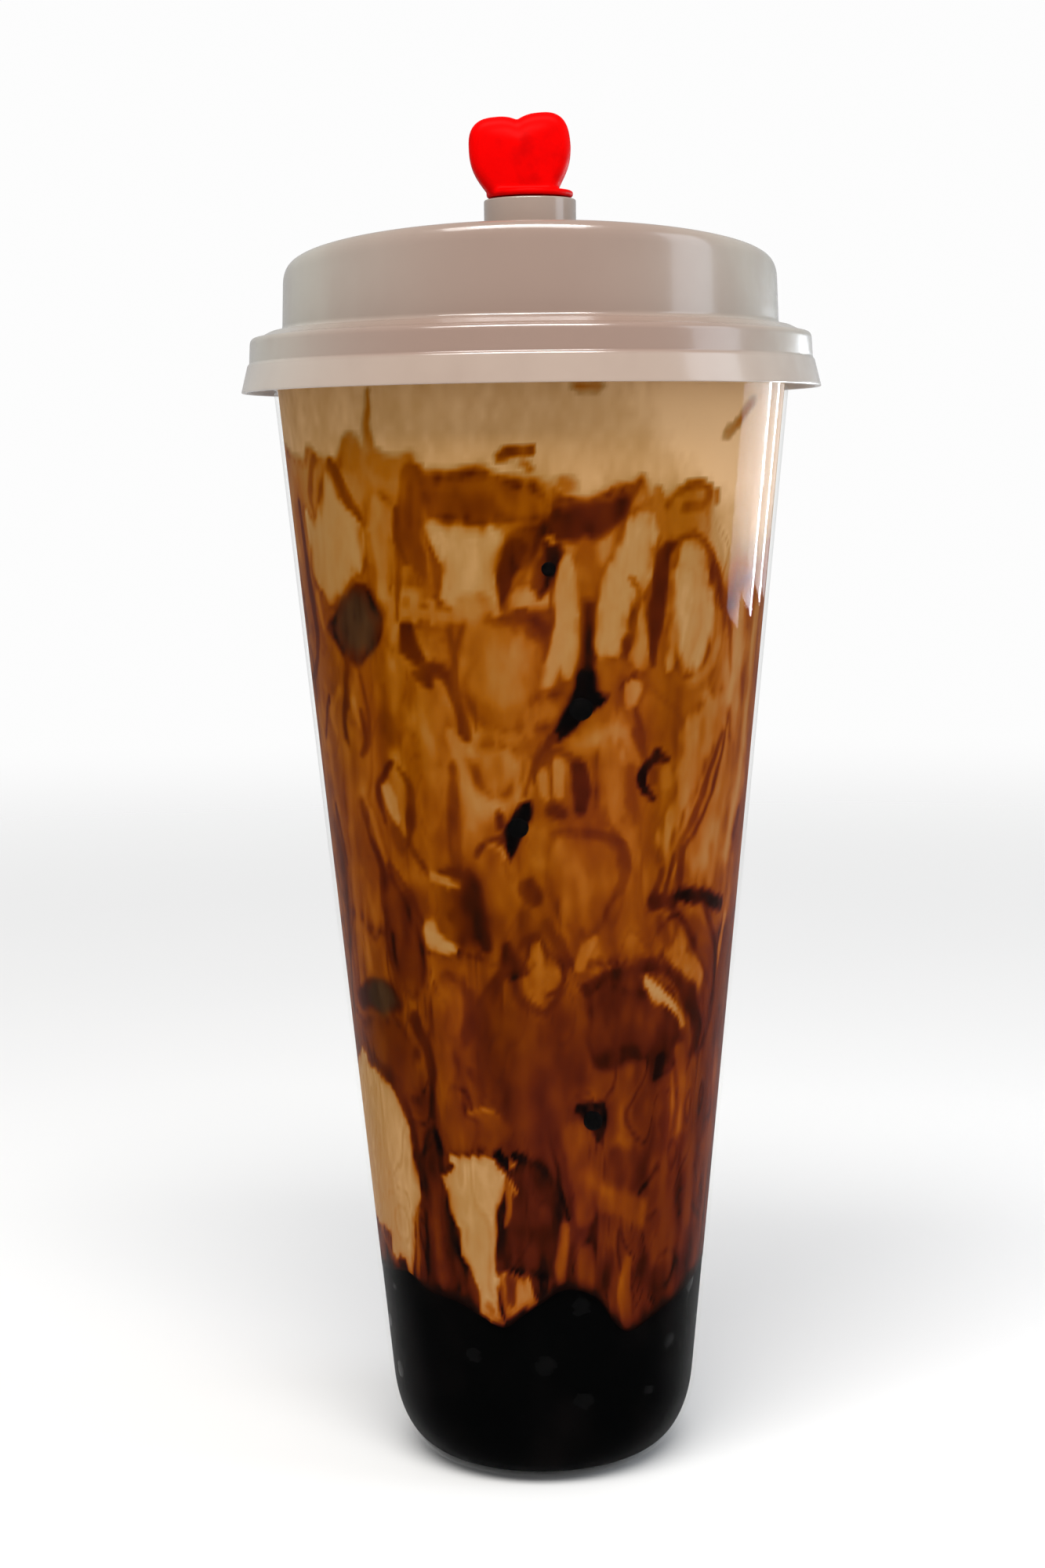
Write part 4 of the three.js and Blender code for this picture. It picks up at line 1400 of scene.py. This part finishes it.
# Window panes that show in gloss alone: angle, height, width, depth in metres, and watts
panes = [
    # haze on the cup's upper right
    (107, 0.135, 0.062, 0.09, 0.55), (118, 0.145, 0.062, 0.09, 0.42), (129, 0.155, 0.062, 0.09, 0.16),
    (140, 0.16, 0.062, 0.09, 0.07),
    # bright lines in it
    (125, 0.15, 0.012, 0.10, 0.42), (136, 0.16, 0.012, 0.10, 0.26),
    # spots on the lid's band
    (-66, 0.199, 0.032, 0.010, 0.008), (-80, 0.199, 0.010, 0.010, 0.003), (141, 0.199, 0.03, 0.012, 0.006),
]


def paleFloor():
    finish = newFinish("pale floor")
    spot = finish.node("TexCoord", {}, {}, out="Object")
    away = finish.node("VectorMath", {"operation": "LENGTH"}, {0: spot}, out="Value")
    patch = finish.noise(180, detail=2.0)
    colour = finish.blend((0.87, 0.87, 0.87, 1), (0.9, 0.9, 0.895, 1), patch)
    matt = finish.plastic(Base_Color=colour, Roughness=0.7, Specular_IOR_Level=0.1)
    gone = finish.node("BsdfTransparent", {}, {})
    fade = finish.smooth(away, *studio["fade"])
    return finish.done(finish.node("MixShader", {}, {0: fade, 1: matt, 2: gone}))


def makeFloor():
    angle = np.arange(96) * 2 * math.pi / 96
    radii = np.linspace(0.0, studio["floor"], 14)[:, None] / mm
    points = onRing(radii, angle[None, :], 0 * radii)
    mesh = cleanMesh(meshFrom("floor", points.reshape(-1, 3), ringFaces(len(radii), len(angle))))
    mesh.materials.append(paleFloor())
    floor = bpy.data.objects.new("floor", mesh)
    scene.collection.objects.link(floor)
    floor.location.z = -0.0002


# An area light at a place, turned towards a point; gloss alone means it only shows in reflections
def addPanel(name, place, towards, size, watts, shade, glossAlone=False):
    data = bpy.data.lights.new(name, "AREA")
    data.shape = "RECTANGLE"
    data.size, data.size_y = size
    data.energy = watts
    data.color = shade
    panel = bpy.data.objects.new(name, data)
    scene.collection.objects.link(panel)
    panel.location = place
    panel.rotation_euler = (Vector(towards) - Vector(place)).to_track_quat("-Z", "Y").to_euler()
    panel.visible_camera = False
    panel.visible_diffuse = not glossAlone
    return panel


# A place round the cup's axis: angle from the front towards +X in degrees, distance and height in metres
def around(degrees, distance, height):
    angle = math.radians(degrees)
    return (distance * math.sin(angle), -distance * math.cos(angle), height)


def makeLights():
    world = bpy.data.worlds.new("white room")
    scene.world = world
    sky = Finish(world, "World")
    seen = sky.node("LightPath", {}, {}, out="Is Camera Ray")
    sky.feed(sky.output.inputs["Surface"], sky.node("MixShader", {}, {
        0: seen,
        1: sky.node("Background", {}, {"Color": (0.97, 0.98, 1.0, 1), "Strength": studio["sky"]}),
        2: sky.node("Background", {}, {"Color": studio["white"], "Strength": 1.0}),
    }))
    middle = (0, 0, 0.11)
    addPanel("overhead", (-0.1, -0.65, 1.15), middle, (1.2, 0.45), studio["overhead"], (1, 0.98, 0.95))
    addPanel("right window", around(78, 0.9, 0.45), middle, (0.4, 0.6), studio["side"], (0.82, 0.9, 1.0))
    addPanel("edge", (0, -0.35, 0.75), (0, 0, 0.2), (0.5, 0.12), studio["edge"], (1, 1, 1), True)
    for degrees, height, wide, deep, watts in panes:
        spot = around(degrees, studio["paneDistance"], height)
        addPanel("pane", spot, (0, 0, height), (wide, deep), watts, studio["daylight"], True)


def makeCamera():
    data = bpy.data.cameras.new("photo camera")
    data.sensor_width = 36.0
    data.lens = viewpoint["focal"] * data.sensor_width / viewpoint["high"]
    data.clip_start = 0.01
    camera = bpy.data.objects.new("photo camera", data)
    scene.collection.objects.link(camera)
    camera.location = Vector((viewpoint["side"], -viewpoint["distance"], viewpoint["height"])) * mm
    tilt = Euler((math.radians(90 - viewpoint["pitch"]), 0, 0)).to_matrix()
    roll = Matrix.Rotation(math.radians(viewpoint["roll"]), 3, "Z")
    camera.rotation_euler = (tilt @ roll).to_euler()
    scene.camera = camera


makeFloor()
makeLights()
makeCamera()
scene.view_settings.view_transform = "Standard"
print("studio ready")
